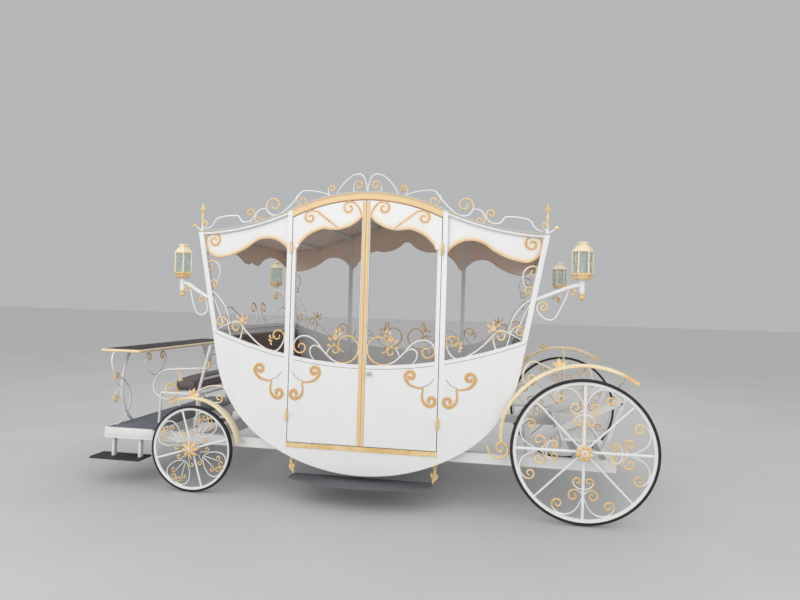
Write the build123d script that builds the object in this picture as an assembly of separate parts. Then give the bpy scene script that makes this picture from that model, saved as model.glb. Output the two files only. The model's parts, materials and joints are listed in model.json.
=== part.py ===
from build123d import *
from math import atan2, ceil, cos, degrees, hypot, radians, sin, sqrt
import os

os.makedirs("parts", exist_ok=True)

# Driving dimensions in mm, measured from the middle of the cabin
# X runs forward, Y to the left (the side with the doors), Z up from the ground
CABIN_WIDTH = 2060
PANEL = 24
SKIN = 16
TUBE = 40
ROOF_SHEET = 12
VALANCE_SHEET = 12
SCROLL_BAR = 14
SCROLL_DEPTH = 12
SPOKE_DEPTH = 14
BELT_RAIL = 30
VALANCE_BACK = 38
RIB_STATIONS = (330, 632, 1010)
CURL_SHRINK = 0.8
CHORD_TURN = 75
GUARD_TURN = 12
BAR_SIDES = 8
HUB_SIDES = 10
LANTERN_SIDES = 6
WHEEL_SIDES = 26

KEEL_Z = 230
BELT_LOW_Z = 1080
LEAN = 10.4
HULL_STRAIGHT = 238
HULL_BEND_RADIUS = 950
HULL_BEND_TURN = 46.8
HULL_BOTTOM_RADIUS = 1500

ROOF_TOP_Z = 2490
ROOF_CREST_RADIUS = 1450
ROOF_CREST_TURN = 24.5
ROOF_EDGE_SLOPE = 2

DOOR_HALF = 606
DOOR_GAP = 6
DOOR_SILL_Z = 460
ARCH_BAND = 55
HINGE_HEIGHTS = (680, 2035)
HINGE_RADIUS = 9
HINGE_PIN_RADIUS = 5

RAIL_Y = 930
RAIL_WIDTH = 60
RAIL_LOW_Z = 380
RAIL_TOP_Z = 460
RAIL_FRONT_X = 2280
RAIL_REAR_X = -1960

REAR_WHEEL = {"x": -1710, "y": 1070, "radius": 545, "tyre": 30, "rim": 33, "main": 25, "thin": 15}
FRONT_WHEEL = {"x": 1421, "y": 1045, "radius": 356, "tyre": 20, "rim": 20, "main": 18, "thin": 12}
TYRE_WIDTH = 36
RIM_WIDTH = 30
AXLE_PIN_RADIUS = 18
AXLE_HALF = 980
RUNNING_GAP = 0.08

STEP_FRONT_X = 2390
SIDE_REACH_Y = 1195
POLE_PIN_RADIUS = 11
LANTERNS = {"front": (1540, 1060, 1765), "rear": (-1660, 1115, 1815)}
LANTERN_REACH = 330
STEP_PLATE_Z = 216
CONSOLE_TOP_Z = 1139
CONSOLE_REAR_X = 1998
SEAT_Z = 760
SEAT_HALF = 700

# Sizes that follow from those above
KEEL_TURN = 90 - LEAN - HULL_BEND_TURN
KEEL_SIN, KEEL_COS = sin(radians(KEEL_TURN)), cos(radians(KEEL_TURN))
LEAN_SIN, LEAN_COS = sin(radians(LEAN)), cos(radians(LEAN))
BELT_END_X = HULL_BOTTOM_RADIUS * KEEL_SIN + HULL_BEND_RADIUS * (LEAN_COS - KEEL_SIN) + HULL_STRAIGHT * LEAN_SIN
BELT_RISE = HULL_BOTTOM_RADIUS * (1 - KEEL_COS) + HULL_BEND_RADIUS * (KEEL_COS - LEAN_SIN)
BELT_END_Z = KEEL_Z + BELT_RISE + HULL_STRAIGHT * LEAN_COS
# The flare of the roof ends where the leaning corner posts reach it
CREST_RUN = ROOF_CREST_RADIUS * sin(radians(ROOF_CREST_TURN))
CREST_DROP = ROOF_CREST_RADIUS * (1 - cos(radians(ROOF_CREST_TURN)))
FLARE_ALONG = sin(radians(ROOF_CREST_TURN)) - sin(radians(ROOF_EDGE_SLOPE))
FLARE_DOWN = cos(radians(ROOF_EDGE_SLOPE)) - cos(radians(ROOF_CREST_TURN))
POST_SLOPE = LEAN_SIN / LEAN_COS
CREST_END_REACH = BELT_END_X - CREST_RUN + (ROOF_TOP_Z - CREST_DROP - BELT_END_Z) * POST_SLOPE
ROOF_FLARE_RADIUS = CREST_END_REACH / (FLARE_ALONG + FLARE_DOWN * POST_SLOPE)
SIDE_Y = CABIN_WIDTH / 2
PANEL_Y = SIDE_Y - PANEL
POST_Y = SIDE_Y - TUBE
JAMB_X = DOOR_HALF + DOOR_GAP
JAMB_OUT_X = JAMB_X + TUBE
TYRE_BACK_X = REAR_WHEEL["x"] - REAR_WHEEL["radius"]
ORIGIN_X = (STEP_FRONT_X + TYRE_BACK_X) / 2
DECK_TOP_Z = RAIL_TOP_Z + 12
DECK_HALF = RAIL_Y + RAIL_WIDTH / 2 - 10
REAR_AXLE_TOP_Z = REAR_WHEEL["radius"] + 25

# Scrollwork as bent bars, seen from the left with X forward
# Each row is (x, z, heading, points it runs through, start curl, end curl)
# Each curl is (first radius, 1 to the left or -1 to the right, sixths of a turn)
BELT_SCROLLS = [
    (1256, 1340, 146, [(1095, 1419), (1036, 1400), (900, 1258), (785, 1191), (705, 1208), (661, 1290)],
     None, (58, -1, 4)),
    (1150, 1398, -100, [(1125, 1300), (1080, 1263), (1034, 1296), (1022, 1345)], None, (54, -1, 4)),
    (1149, 1398, 75, [(1180, 1444)], None, (44, -1, 4)),
    (1138, 1404, 85, [(1165, 1510), (1290, 1660), (1320, 1700)], None, (44, 1, 4)),
    (1255, 1760, 125, [(1232, 1840), (1290, 1915)], None, (46, -1, 3)),
]
DOOR_SCROLLS = [
    (195, 1119, 12, [(265, 1152), (358, 1250), (440, 1315), (518, 1318), (573, 1255)], (135, -1, 4), (58, -1, 4)),
    (325, 1212, 40, [(378, 1245), (437, 1203), (405, 1140)], None, None),
    (297, 1178, 95, [(258, 1246)], None, (38, 1, 3)),
]
END_SCROLLS = [
    (60, 180, -90, [(90, 90), (200, 25), (400, 75), (600, 195), (690, 205), (780, 110)], (66, -1, 4), (62, -1, 4)),
]
CREST_SCROLLS = [
    (4, 2485, 92, [(30, 2598), (85, 2630), (140, 2606), (256, 2468)], None, None),
    (105, 2480, 88, [(107, 2538)], None, (30, 1, 3)),
    (312, 2450, 85, [(318, 2503)], None, (28, 1, 3)),
    (306, 2462, 8, [(515, 2500), (580, 2471), (695, 2326), (770, 2298), (850, 2380)], None, (52, 1, 4)),
    (580, 2468, -75, [(545, 2388)], None, (28, -1, 3)),
    (845, 2350, 20, [(942, 2295)], None, (36, -1, 3)),
    (942, 2300, -90, [(985, 2246), (1030, 2254), (1105, 2298), (1240, 2266), (1314, 2176)], (32, -1, 3), None),
]
# Below a lantern as (distance out from the post, height above the lantern, then as above)
LANTERN_SCROLLS = [
    (230, -90, -105, [(205, -160), (150, -272), (75, -298), (8, -235), (30, -172)], (32, -1, 3), (38, -1, 3)),
]
# On one spoke, or between two, as shares of the wheel's radius: (outwards, sideways, then as above)
REAR_SPOKE_SCROLLS = [
    (0.58, 0.03, 0, [(0.745, 0.08), (0.85, 0.235), (0.78, 0.37)], (0.1, -1, 3), (0.085, 1, 3)),
]
FRONT_SPOKE_SCROLLS = [
    (0.33, 0.02, 65, [(0.47, 0.2), (0.66, 0.29), (0.84, 0.22), (0.88, 0.1)], None, (0.08, -1, 3)),
]
# In the plane of the console's legs as (y, z, then as above)
CONSOLE_SCROLLS = [
    (671, 1120, -50, [(792, 810), (606, 470)], None, None),
    (895, 1120, -10, [(945, 1065), (810, 874), (861, 470)], None, None),
    (797, 790, 20, [(925, 870)], None, (32, 1, 3)),
    (561, 1120, -80, [(647, 920), (760, 930)], None, (40, 1, 3)),
]
SEAT_SCROLLS = [
    (1550, 1065, 5, [(1760, 1040), (1941, 948), (2035, 798), (1960, 690)], (24, 1, 3), (80, -1, 4)),
]


# Shared builders

def through(start, heading, points):
    """Arcs, each tangent to the one before, from a start through the points."""
    moves = []
    x, y = start
    for next_x, next_y in points:
        run = hypot(next_x - x, next_y - y)
        swing = (degrees(atan2(next_y - y, next_x - x)) - heading + 180) % 360 - 180
        straight = abs(swing) < 0.5
        moves.append((run, 0) if straight else (run / (2 * sin(radians(abs(swing)))), 2 * swing))
        heading += 0 if straight else 2 * swing
        x, y = next_x, next_y
    return moves, (x, y), heading


def curl(radius, hand, sixths):
    """Sixths of a turn that tighten."""
    return [(radius * CURL_SHRINK ** k, 60 * hand) for k in range(sixths)]


def chord_stations(start, heading, moves, most=CHORD_TURN):
    """Stations of a pen path with no more than that turn from one to the next."""
    stations = [(*start, radians(heading))]
    for size, turn in moves:
        steps = max(1, ceil(abs(turn) / most))
        for _ in range(steps):
            x, y, angle = stations[-1]
            piece = [(size, turn / steps)] if turn else [(size, 0)]
            stations.append(legs_of((x, y), degrees(angle), piece)[0][0][2])
    return stations


def scroll(row, width=SCROLL_BAR):
    """Face of one scroll bar, drawn with straight chords."""
    x, z, heading, points, start_curl, end_curl = row
    moves, end, last = through((x, z), heading, points)
    if end_curl:
        moves += curl(*end_curl)
    stations = chord_stations((x, z), heading, moves)
    if start_curl:
        before = chord_stations((x, z), heading + 180, curl(*start_curl))
        stations = [(a, b, angle + radians(180)) for a, b, angle in before[:0:-1]] + stations
    right = [beside(station, -width / 2) for station in stations]
    left = [beside(station, width / 2) for station in stations]
    return make_face(Polyline(*right, *left[::-1], close=True))


def scrolls(rows, width=SCROLL_BAR):
    """Faces of several scroll bars, joined where they meet."""
    faces = Sketch()
    for row in rows:
        faces += scroll(row, width)
    return faces


def legs_of(start, heading, moves):
    """Stations of a pen path; each move is (size, turn): a length when turn is 0, else a radius."""
    x, y = start
    angle = radians(heading)
    legs = []
    for size, turn in moves:
        stations = [(x, y, angle)]
        bend = radians(turn)
        for part in (0.5, 0.5):
            if turn == 0:
                x, y = x + size * part * cos(angle), y + size * part * sin(angle)
            else:
                side = 1 if turn > 0 else -1
                cx, cy = x - side * size * sin(angle), y + side * size * cos(angle)
                angle += bend * part
                x, y = cx + side * size * sin(angle), cy - side * size * cos(angle)
            stations.append((x, y, angle))
        legs.append((stations, turn))
    return legs


def beside(station, offset):
    """The point to the left of a station by offset."""
    x, y, angle = station
    return (x - offset * sin(angle), y + offset * cos(angle))


def trace(legs, offset):
    """Edges of a path moved sideways by offset."""
    edges = []
    for stations, turn in legs:
        a, b, c = [beside(station, offset) for station in stations]
        edges.append(Line(a, c) if turn == 0 else ThreePointArc(a, b, c))
    return edges


def ribbon(start, heading, moves, right, left):
    """Face between two offsets of a pen path."""
    legs = legs_of(start, heading, moves)
    first, last = legs[0][0][0], legs[-1][0][2]
    caps = [Line(beside(s, right), beside(s, left)) for s in (first, last)]
    return make_face(trace(legs, right) + trace(legs, left) + caps)


def bar(start, heading, moves, width=SCROLL_BAR):
    """Ribbon centred on its path."""
    return ribbon(start, heading, moves, -width / 2, width / 2)


def side_plate(face, low, high):
    """Face drawn as (x, z), made solid between two y stations."""
    plane = Plane(origin=(0, low, 0), x_dir=(-1, 0, 0), z_dir=(0, 1, 0))
    return extrude(plane * mirror(face, Plane.YZ), high - low, dir=(0, 1, 0))


def cross_plate(face, low, high):
    """Face drawn as (y, z), made solid between two x stations."""
    plane = Plane(origin=(low, 0, 0), x_dir=(0, 1, 0), z_dir=(1, 0, 0))
    return extrude(plane * face, high - low, dir=(1, 0, 0))


def lean_plate(face, depth):
    """Face drawn as (y, height along the end post), made solid inwards from the front end."""
    lean = radians(LEAN)
    normal = (cos(lean), 0, -sin(lean))
    plane = Plane(origin=(BELT_END_X, 0, BELT_END_Z), x_dir=(0, 1, 0), z_dir=normal)
    return extrude(plane * face, depth, dir=(-normal[0], 0, -normal[2]))


def box(x0, x1, y0, y1, z0, z1):
    """Box between two corners."""
    return Pos((x0 + x1) / 2, (y0 + y1) / 2, (z0 + z1) / 2) * Box(abs(x1 - x0), abs(y1 - y0), abs(z1 - z0))


def rod(a, b, radius, sides=BAR_SIDES):
    """Bar with a many-sided section between two points."""
    run = Vector(b) - Vector(a)
    return extrude(Plane(origin=a, z_dir=run) * RegularPolygon(radius, sides), run.length)


def socket(a, b, radius, sides=BAR_SIDES):
    """Room for a bar of that radius to turn in."""
    run = Vector(b) - Vector(a)
    hole = RegularPolygon(radius + RUNNING_GAP, sides, major_radius=False)
    return extrude(Plane(origin=a, z_dir=run) * hole, run.length)


def fore_and_aft(shape):
    """A shape and its mirror image at the other end of the cabin."""
    return shape + mirror(shape, Plane.YZ)


def both_sides(shape):
    """A shape and its mirror image on the other side."""
    return shape + mirror(shape, Plane.XZ)


def outline(*edges):
    """Face inside a closed run of edges."""
    return make_face(list(edges))


def save(name, shape):
    """Writes one node, moved so that the origin is midway along the whole vehicle."""
    export_step(Pos(-ORIGIN_X, 0, 0) * shape, f"parts/{name}.step")


# Cabin outlines

def hull_moves():
    """Hull from the rear belt end, down round the keel and up to the front belt end."""
    bend = (HULL_BEND_RADIUS, HULL_BEND_TURN)
    return [(HULL_STRAIGHT, 0), bend, (HULL_BOTTOM_RADIUS, 2 * KEEL_TURN), bend, (HULL_STRAIGHT, 0)]


def roof_moves():
    """Roof from the front corner over the crest to the rear corner."""
    flare = (ROOF_FLARE_RADIUS, ROOF_EDGE_SLOPE - ROOF_CREST_TURN)
    return [flare, (ROOF_CREST_RADIUS, 2 * ROOF_CREST_TURN), flare]


HULL_START = (-BELT_END_X, BELT_END_Z)
HULL_HEADING = LEAN - 90
ROOF_END_X = CREST_RUN + ROOF_FLARE_RADIUS * FLARE_ALONG
ROOF_END_Z = ROOF_TOP_Z - CREST_DROP - ROOF_FLARE_RADIUS * FLARE_DOWN
ROOF_START = (ROOF_END_X, ROOF_END_Z)
ROOF_HEADING = 180 - ROOF_EDGE_SLOPE


def belt_arc(rise):
    """Belt line from end to end, raised by rise."""
    return ThreePointArc(
        (-BELT_END_X, BELT_END_Z + rise), (0, BELT_LOW_Z + rise), (BELT_END_X, BELT_END_Z + rise)
    )


def hull_side():
    """Side of the hull below the belt."""
    return make_face(trace(legs_of(HULL_START, HULL_HEADING, hull_moves()), 0) + [belt_arc(0)])


def roof_band(high, low):
    """Band that follows the roof between two depths below its top."""
    return ribbon(ROOF_START, ROOF_HEADING, roof_moves(), high, low)


def under_roof(depth):
    """Everything below the roof by depth."""
    legs = legs_of(ROOF_START, ROOF_HEADING, roof_moves())
    start, end = beside(legs[0][0][0], depth), beside(legs[-1][0][2], depth)
    return make_face(trace(legs, depth) + [Polyline(start, (start[0], 0), (end[0], 0), end)])


hull_prism = side_plate(hull_side(), -SIDE_Y, SIDE_Y)
roof_room = side_plate(under_roof(ROOF_SHEET), -SIDE_Y, SIDE_Y)
rails = both_sides(
    box(RAIL_REAR_X, RAIL_FRONT_X, RAIL_Y - RAIL_WIDTH / 2, RAIL_Y + RAIL_WIDTH / 2, RAIL_LOW_Z, RAIL_TOP_Z)
)


# Chassis and axles

def cross_members():
    """Members between the two long rails."""
    inner = RAIL_Y - RAIL_WIDTH / 2
    members = Part()
    for x in (RAIL_REAR_X + 30, REAR_WHEEL["x"], -1330, -400, 400, FRONT_WHEEL["x"], 1830, RAIL_FRONT_X - 30):
        members += box(x - 30, x + 30, -inner, inner, RAIL_LOW_Z, RAIL_TOP_Z)
    return members


def pole_bracket():
    """Two ears with a cross hole, under the front cross member, for the draw pole."""
    pin_x, pin_z = RAIL_FRONT_X - 18, RAIL_LOW_Z - 35
    ears = both_sides(box(pin_x - 25, pin_x + 18, 20, 30, pin_z - 25, RAIL_LOW_Z))
    hole = extrude(Plane(origin=(pin_x, -40, pin_z), z_dir=(0, 1, 0)) * Circle(POLE_PIN_RADIUS), 80)
    return ears - hole


def axle(wheel, low, high):
    """Axle beam with a stub for each wheel."""
    beam = box(wheel["x"] - 25, wheel["x"] + 25, -AXLE_HALF, AXLE_HALF, low, high)
    hub_out = wheel["y"] + 30
    ends = [(wheel["x"], sign * hub_out, wheel["radius"]) for sign in (-1, 1)]
    return beam + rod(*ends, AXLE_PIN_RADIUS, HUB_SIDES)


save("chassis_rails", rails)
save("chassis_crossmembers", cross_members())
save("pole_bracket", pole_bracket())
save("front_axle", axle(FRONT_WHEEL, 2 * FRONT_WHEEL["radius"] - RAIL_LOW_Z, RAIL_LOW_Z))
rear_seats = both_sides(
    box(REAR_WHEEL["x"] - 25, REAR_WHEEL["x"] + 25, RAIL_Y - 30, RAIL_Y + 30, RAIL_TOP_Z, REAR_WHEEL["radius"] - 25)
)
save("rear_axle", axle(REAR_WHEEL, REAR_WHEEL["radius"] - 25, REAR_AXLE_TOP_Z) + rear_seats)


# Wheels

def wheel_ring(outer, inner, width):
    """Flat ring centred on the wheel."""
    ring = RegularPolygon(outer, WHEEL_SIDES) - RegularPolygon(inner, WHEEL_SIDES)
    return extrude(Plane(origin=(0, -width / 2, 0), z_dir=(0, 1, 0)) * ring, width)


def hub(wheel, reach):
    """Hub closed by a cap outside."""
    body = rod((0, -reach, 0), (0, reach, 0), 0.07 * wheel["radius"], HUB_SIDES)
    body += rod((0, -10, 0), (0, 10, 0), 0.11 * wheel["radius"], HUB_SIDES)
    return body + rod((0, reach, 0), (0, reach + 25, 0), 0.05 * wheel["radius"])


def spoke_face(wheel, turned):
    """Eight spokes with the scrollwork that they carry, seen from the left."""
    radius = wheel["radius"]
    reach = radius - wheel["tyre"] - wheel["rim"] + 3
    rows = REAR_SPOKE_SCROLLS if wheel is REAR_WHEEL else FRONT_SPOKE_SCROLLS
    offset = 0 if wheel is REAR_WHEEL else 45
    group = Sketch()
    for x, z, heading, points, first, last in rows:
        spread = [(radius * a, radius * b) for a, b in points]
        ends = [turns and (radius * turns[0], *turns[1:]) for turns in (first, last)]
        group += scroll((radius * x, radius * z, heading, spread, *ends), 0.022 * radius)
    group += mirror(group, Plane.XZ)
    face = Sketch()
    for k in range(8):
        width = wheel["thin"] if k % 2 else wheel["main"]
        face += Rot(0, 0, turned + 45 * k) * Pos(reach / 2, 0) * Rectangle(reach, width)
    for k in range(4):
        face += Rot(0, 0, turned + offset + 90 * k) * group
    return face & RegularPolygon(reach + 10, WHEEL_SIDES)


def wheel_body(wheel, turned):
    """Rim, spokes, scrollwork and hub in one piece, with room for the axle stub."""
    rim_out = wheel["radius"] - wheel["tyre"]
    body = wheel_ring(rim_out, rim_out - wheel["rim"], RIM_WIDTH) + hub(wheel, 38)
    body += side_plate(spoke_face(wheel, turned), -SPOKE_DEPTH / 2, SPOKE_DEPTH / 2)
    return body - socket((0, -60, 0), (0, 33, 0), AXLE_PIN_RADIUS, HUB_SIDES)


for end, wheel, turned in (("front", FRONT_WHEEL, -17), ("rear", REAR_WHEEL, 0)):
    tyre = wheel_ring(wheel["radius"], wheel["radius"] - wheel["tyre"], TYRE_WIDTH)
    body = wheel_body(wheel, turned)
    for side, sign in (("left", 1), ("right", -1)):
        place = Pos(wheel["x"], sign * wheel["y"], wheel["radius"])
        turn = Rot(0, 0, 0 if sign > 0 else 180)
        save(f"{end}_tyre_{side}", place * turn * tyre)
        save(f"{end}_wheel_{side}", place * turn * body)


# Cabin shell

def opening(low_z):
    """Door opening in the left side."""
    return box(-JAMB_OUT_X, JAMB_OUT_X, 0, SIDE_Y + 10, low_z, ROOF_TOP_Z)


left_side = side_plate(hull_side(), PANEL_Y, SIDE_Y) - opening(DOOR_SILL_Z)
save("side_panel_left", left_side)
save("side_panel_right", side_plate(hull_side(), -SIDE_Y, -PANEL_Y))
skin = side_plate(ribbon(HULL_START, HULL_HEADING, hull_moves(), 0, SKIN), -PANEL_Y, PANEL_Y) - rails
save("hull_skin", skin)
FLOOR_DROP = HULL_BOTTOM_RADIUS - (RAIL_TOP_Z - KEEL_Z)
FLOOR_HALF = sqrt((HULL_BOTTOM_RADIUS - SKIN) ** 2 - FLOOR_DROP ** 2) - 1
save("cabin_floor", box(-FLOOR_HALF, FLOOR_HALF, -POST_Y, POST_Y, RAIL_TOP_Z, RAIL_TOP_Z + 20))
save("roof_sheet", side_plate(roof_band(0, ROOF_SHEET), -SIDE_Y, SIDE_Y))


def corner_posts():
    """Leaning posts at the four corners."""
    path = [(1000, 0)]
    post = side_plate(ribbon((BELT_END_X, BELT_END_Z), 90 - LEAN, path, 0, TUBE), POST_Y, SIDE_Y)
    low = side_plate(ribbon((BELT_END_X, BELT_END_Z), -90 - LEAN, [(80, 0)], -TUBE, 0), POST_Y, SIDE_Y)
    return fore_and_aft((post + low - hull_prism - skin) & roof_room)


def jamb_posts():
    """Upright posts beside the doors, and at the same places on the right."""
    left = box(JAMB_X, JAMB_OUT_X, POST_Y, SIDE_Y, DOOR_SILL_Z, ROOF_TOP_Z)
    right = box(JAMB_X, JAMB_OUT_X, -SIDE_Y, -POST_Y, DOOR_SILL_Z, ROOF_TOP_Z)
    right -= side_plate(hull_side(), -SIDE_Y, -PANEL_Y)
    return fore_and_aft((left + right) & roof_room)


posts_solid = both_sides(corner_posts()) + jamb_posts()
save("cabin_posts", posts_solid)
beyond_face = ribbon((BELT_END_X, BELT_END_Z), 90 - LEAN, [(1000, 0)], -300, TUBE)
beyond_face += ribbon((BELT_END_X, BELT_END_Z), -90 - LEAN, [(100, 0)], -TUBE, 300)
beyond_posts = fore_and_aft(side_plate(beyond_face, -SIDE_Y, SIDE_Y))
belt_face = make_face(
    [belt_arc(0), belt_arc(BELT_RAIL), Line((-BELT_END_X, BELT_END_Z), (-BELT_END_X, BELT_END_Z + BELT_RAIL)),
     Line((BELT_END_X, BELT_END_Z), (BELT_END_X, BELT_END_Z + BELT_RAIL))]
)
belt_left = side_plate(belt_face, SIDE_Y - BELT_RAIL, SIDE_Y) - opening(0)
belt_right = side_plate(belt_face, -SIDE_Y, BELT_RAIL - SIDE_Y)
belt_ends = fore_and_aft(lean_plate(Rectangle(2 * POST_Y, BELT_RAIL, align=(Align.CENTER, Align.MIN)), TUBE))
belts_solid = (belt_left + belt_right - beyond_posts - posts_solid) + belt_ends
save("belt_rails", belts_solid)

arch = side_plate(roof_band(ROOF_SHEET, ROOF_SHEET + ARCH_BAND), PANEL_Y, SIDE_Y)
save("door_arch", arch & box(-JAMB_X, JAMB_X, 0, SIDE_Y, 0, ROOF_TOP_Z))
ribs = Part()
for x in RIB_STATIONS:
    across = box(x - 12, x + 12, -POST_Y, POST_Y, 0, ROOF_TOP_Z) & roof_room
    ribs += fore_and_aft(across - side_plate(under_roof(ROOF_SHEET + 25), -SIDE_Y, SIDE_Y))
save("roof_ribs", ribs)


# Valances, hung below the roof's top by the drops given here

def under_top(x, drop):
    """Point below the top of the roof."""
    return (x, ROOF_TOP_Z - drop)


def quarter_valance_face():
    """Valance over a quarter window."""
    low, dip, crown, end = under_top(1400, 400), under_top(1220, 540), under_top(975, 436), under_top(JAMB_OUT_X, 475)
    high_in, high_out = under_top(JAMB_OUT_X, -100), under_top(ROOF_END_X + 200, -100)
    return outline(
        ThreePointArc(low, under_top(1335, 513), dip),
        ThreePointArc(dip, under_top(1092, 503), crown),
        ThreePointArc(crown, under_top(810, 380), end),
        Polyline(end, high_in, high_out, (high_out[0], low[1]), low),
    )


def door_valance_face(outer, inner):
    """Valance in the top of a door leaf."""
    low, middle, end = under_top(outer, 475), under_top(340, 298), under_top(inner, 200)
    return outline(
        ThreePointArc(low, under_top(490, 365), middle),
        ThreePointArc(middle, under_top(140, 280), end),
        Polyline(end, under_top(inner, -100), under_top(outer, -100), low),
    )


def hung(face, low, high):
    """Valance sheet trimmed to the roof and the leaning post."""
    return (side_plate(face, low, high) & roof_room) - beyond_posts


valance_y = (SIDE_Y - VALANCE_BACK, SIDE_Y - VALANCE_BACK + VALANCE_SHEET)
left_valances = fore_and_aft(hung(quarter_valance_face(), *valance_y))
right_valances = fore_and_aft(hung(quarter_valance_face(), -valance_y[1], -valance_y[0]))
right_door_part = side_plate(door_valance_face(JAMB_X, 0), -valance_y[1], -valance_y[0]) & roof_room
right_valances += fore_and_aft(right_door_part)
POST_RUN = (ROOF_END_Z - BELT_END_Z) / LEAN_COS
END_LOW, END_ARCH = POST_RUN - 195, POST_RUN - 105
end_face = outline(
    ThreePointArc((-POST_Y, END_LOW), (-POST_Y / 2, END_ARCH), (0, END_LOW - 10)),
    ThreePointArc((0, END_LOW - 10), (POST_Y / 2, END_ARCH), (POST_Y, END_LOW)),
    Polyline((POST_Y, END_LOW), (POST_Y, POST_RUN + 40), (-POST_Y, POST_RUN + 40), (-POST_Y, END_LOW)),
)
end_valances = fore_and_aft(lean_plate(end_face, VALANCE_SHEET) & roof_room)
save("quarter_valances_left", left_valances)
save("side_valance_right", right_valances - ribs)
save("end_valances", end_valances - ribs)


# Doors

def door_leaf():
    """Front leaf: frame, lower panel, belt rail and hinge knuckles."""
    low, stile = DOOR_SILL_Z + DOOR_GAP, BELT_RAIL
    inner = DOOR_GAP / 2
    depth = (SIDE_Y - BELT_RAIL, SIDE_Y)
    whole = side_plate(under_roof(ROOF_SHEET + ARCH_BAND + DOOR_GAP), *depth)
    leaf = whole & box(inner, DOOR_HALF, 0, SIDE_Y, low, ROOF_TOP_Z)
    window = side_plate(under_roof(ROOF_SHEET + ARCH_BAND + DOOR_GAP + stile), 0, SIDE_Y + 10)
    window &= box(inner + stile, DOOR_HALF - stile, 0, SIDE_Y + 10, low, ROOF_TOP_Z)
    window -= side_plate(hull_side() + belt_face, 0, SIDE_Y + 10)
    leaf -= window
    pocket = side_plate(hull_side(), SIDE_Y - BELT_RAIL, SIDE_Y - 20)
    pocket &= box(inner + stile, DOOR_HALF - stile, 0, SIDE_Y, low + stile, ROOF_TOP_Z)
    leaf -= pocket
    for z in HINGE_HEIGHTS:
        leaf += box(DOOR_HALF - 50, JAMB_X - 2, SIDE_Y, SIDE_Y + 4, z + 1, z + 36)
        leaf += rod((JAMB_X, SIDE_Y + 10, z + 1), (JAMB_X, SIDE_Y + 10, z + 36), HINGE_RADIUS)
        leaf -= socket((JAMB_X, SIDE_Y + 10, z), (JAMB_X, SIDE_Y + 10, z + 40), HINGE_PIN_RADIUS)
    return leaf


def hinge_pins():
    """Fixed halves of the door hinges."""
    pins = Part()
    for z in HINGE_HEIGHTS:
        plate = box(JAMB_X + 2, JAMB_OUT_X, SIDE_Y, SIDE_Y + 4, z - 36, z - 1)
        barrel = rod((JAMB_X, SIDE_Y + 10, z - 36), (JAMB_X, SIDE_Y + 10, z - 1), HINGE_RADIUS)
        pins += plate + barrel + rod((JAMB_X, SIDE_Y + 10, z - 36), (JAMB_X, SIDE_Y + 10, z + 38), HINGE_PIN_RADIUS)
    return pins


leaf = door_leaf()
door_scroll_face = scrolls(DOOR_SCROLLS)
leaf_valance = side_plate(door_valance_face(DOOR_HALF - BELT_RAIL, DOOR_GAP / 2 + BELT_RAIL), SIDE_Y - 28, SIDE_Y - 16)
leaf_valance &= side_plate(under_roof(ROOF_SHEET + ARCH_BAND + DOOR_GAP + BELT_RAIL), 0, SIDE_Y)
leaf_scroll = side_plate(door_scroll_face, SIDE_Y - 14, SIDE_Y - 14 + SCROLL_DEPTH) - leaf
strip = box(DOOR_GAP / 2, 26, SIDE_Y, SIDE_Y + 6, DOOR_SILL_Z + DOOR_GAP, ROOF_TOP_Z - 80)
save("door_hinges", fore_and_aft(hinge_pins()))
for end, across in (("front", lambda s: s), ("rear", lambda s: mirror(s, Plane.YZ))):
    save(f"door_{end}_leaf", across(leaf))
    save(f"door_{end}_valance", across(leaf_valance))
    save(f"door_{end}_scroll", across(leaf_scroll))
    save(f"door_{end}_strip", across(strip))
HANDLE = (-60, SIDE_Y, 1045)
stem_end = (HANDLE[0], SIDE_Y + 22, HANDLE[2])
handle = rod(HANDLE, stem_end, 6) + rod(stem_end, (HANDLE[0], SIDE_Y + 36, HANDLE[2]), 16)
save("door_rear_handle", handle)
save("door_sill", box(-JAMB_X, JAMB_X, SIDE_Y, SIDE_Y + 6, DOOR_SILL_Z - 36, DOOR_SILL_Z))


# Scrollwork in the window openings

def in_window(face):
    """Scrollwork over the quarter panels on both sides, trimmed to the belt and posts."""
    plate = side_plate(face, SIDE_Y - 24, SIDE_Y - 24 + SCROLL_DEPTH)
    return both_sides(fore_and_aft(plate - hull_prism)) - beyond_posts - posts_solid - belts_solid


right_middle = side_plate(door_scroll_face, 24 - SCROLL_DEPTH - SIDE_Y, 24 - SIDE_Y) - hull_prism
right_middle = fore_and_aft(right_middle) - belts_solid
end_plates = lean_plate(scrolls(END_SCROLLS) + mirror(scrolls(END_SCROLLS), Plane.YZ), SCROLL_DEPTH)
end_scrolls = fore_and_aft(end_plates) - belts_solid
save("window_scrolls", in_window(scrolls(BELT_SCROLLS)) + right_middle + end_scrolls)


# Benches inside the cabin

BENCH_X, BENCH_Z = JAMB_OUT_X + 8, 850
hull_inside = hull_prism - skin
bench = box(BENCH_X, BELT_END_X, -900, 900, BENCH_Z - 30, BENCH_Z) & hull_inside
bench += box(BENCH_X, BENCH_X + 30, -900, 900, RAIL_TOP_Z + 20, BENCH_Z - 30)
back_path = [(BELT_END_Z - BENCH_Z, 0)]
bench_back = side_plate(ribbon((BELT_END_X - 165, BENCH_Z), 90 - LEAN, back_path, 0, 50), -890, 890) & hull_inside
cushion = box(BENCH_X - 10, BELT_END_X - 230, -890, 890, BENCH_Z, BENCH_Z + 70) + bench_back
save("cabin_benches", fore_and_aft(bench))
save("bench_cushions", fore_and_aft(cushion))


# Driver's place

def leaning_bar(a, b, width, low, high):
    """Straight flat bar between two points of the side view."""
    run = hypot(b[0] - a[0], b[1] - a[1])
    heading = degrees(atan2(b[1] - a[1], b[0] - a[0]))
    return side_plate(bar(a, heading, [(run, 0)], width), low, high)


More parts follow.
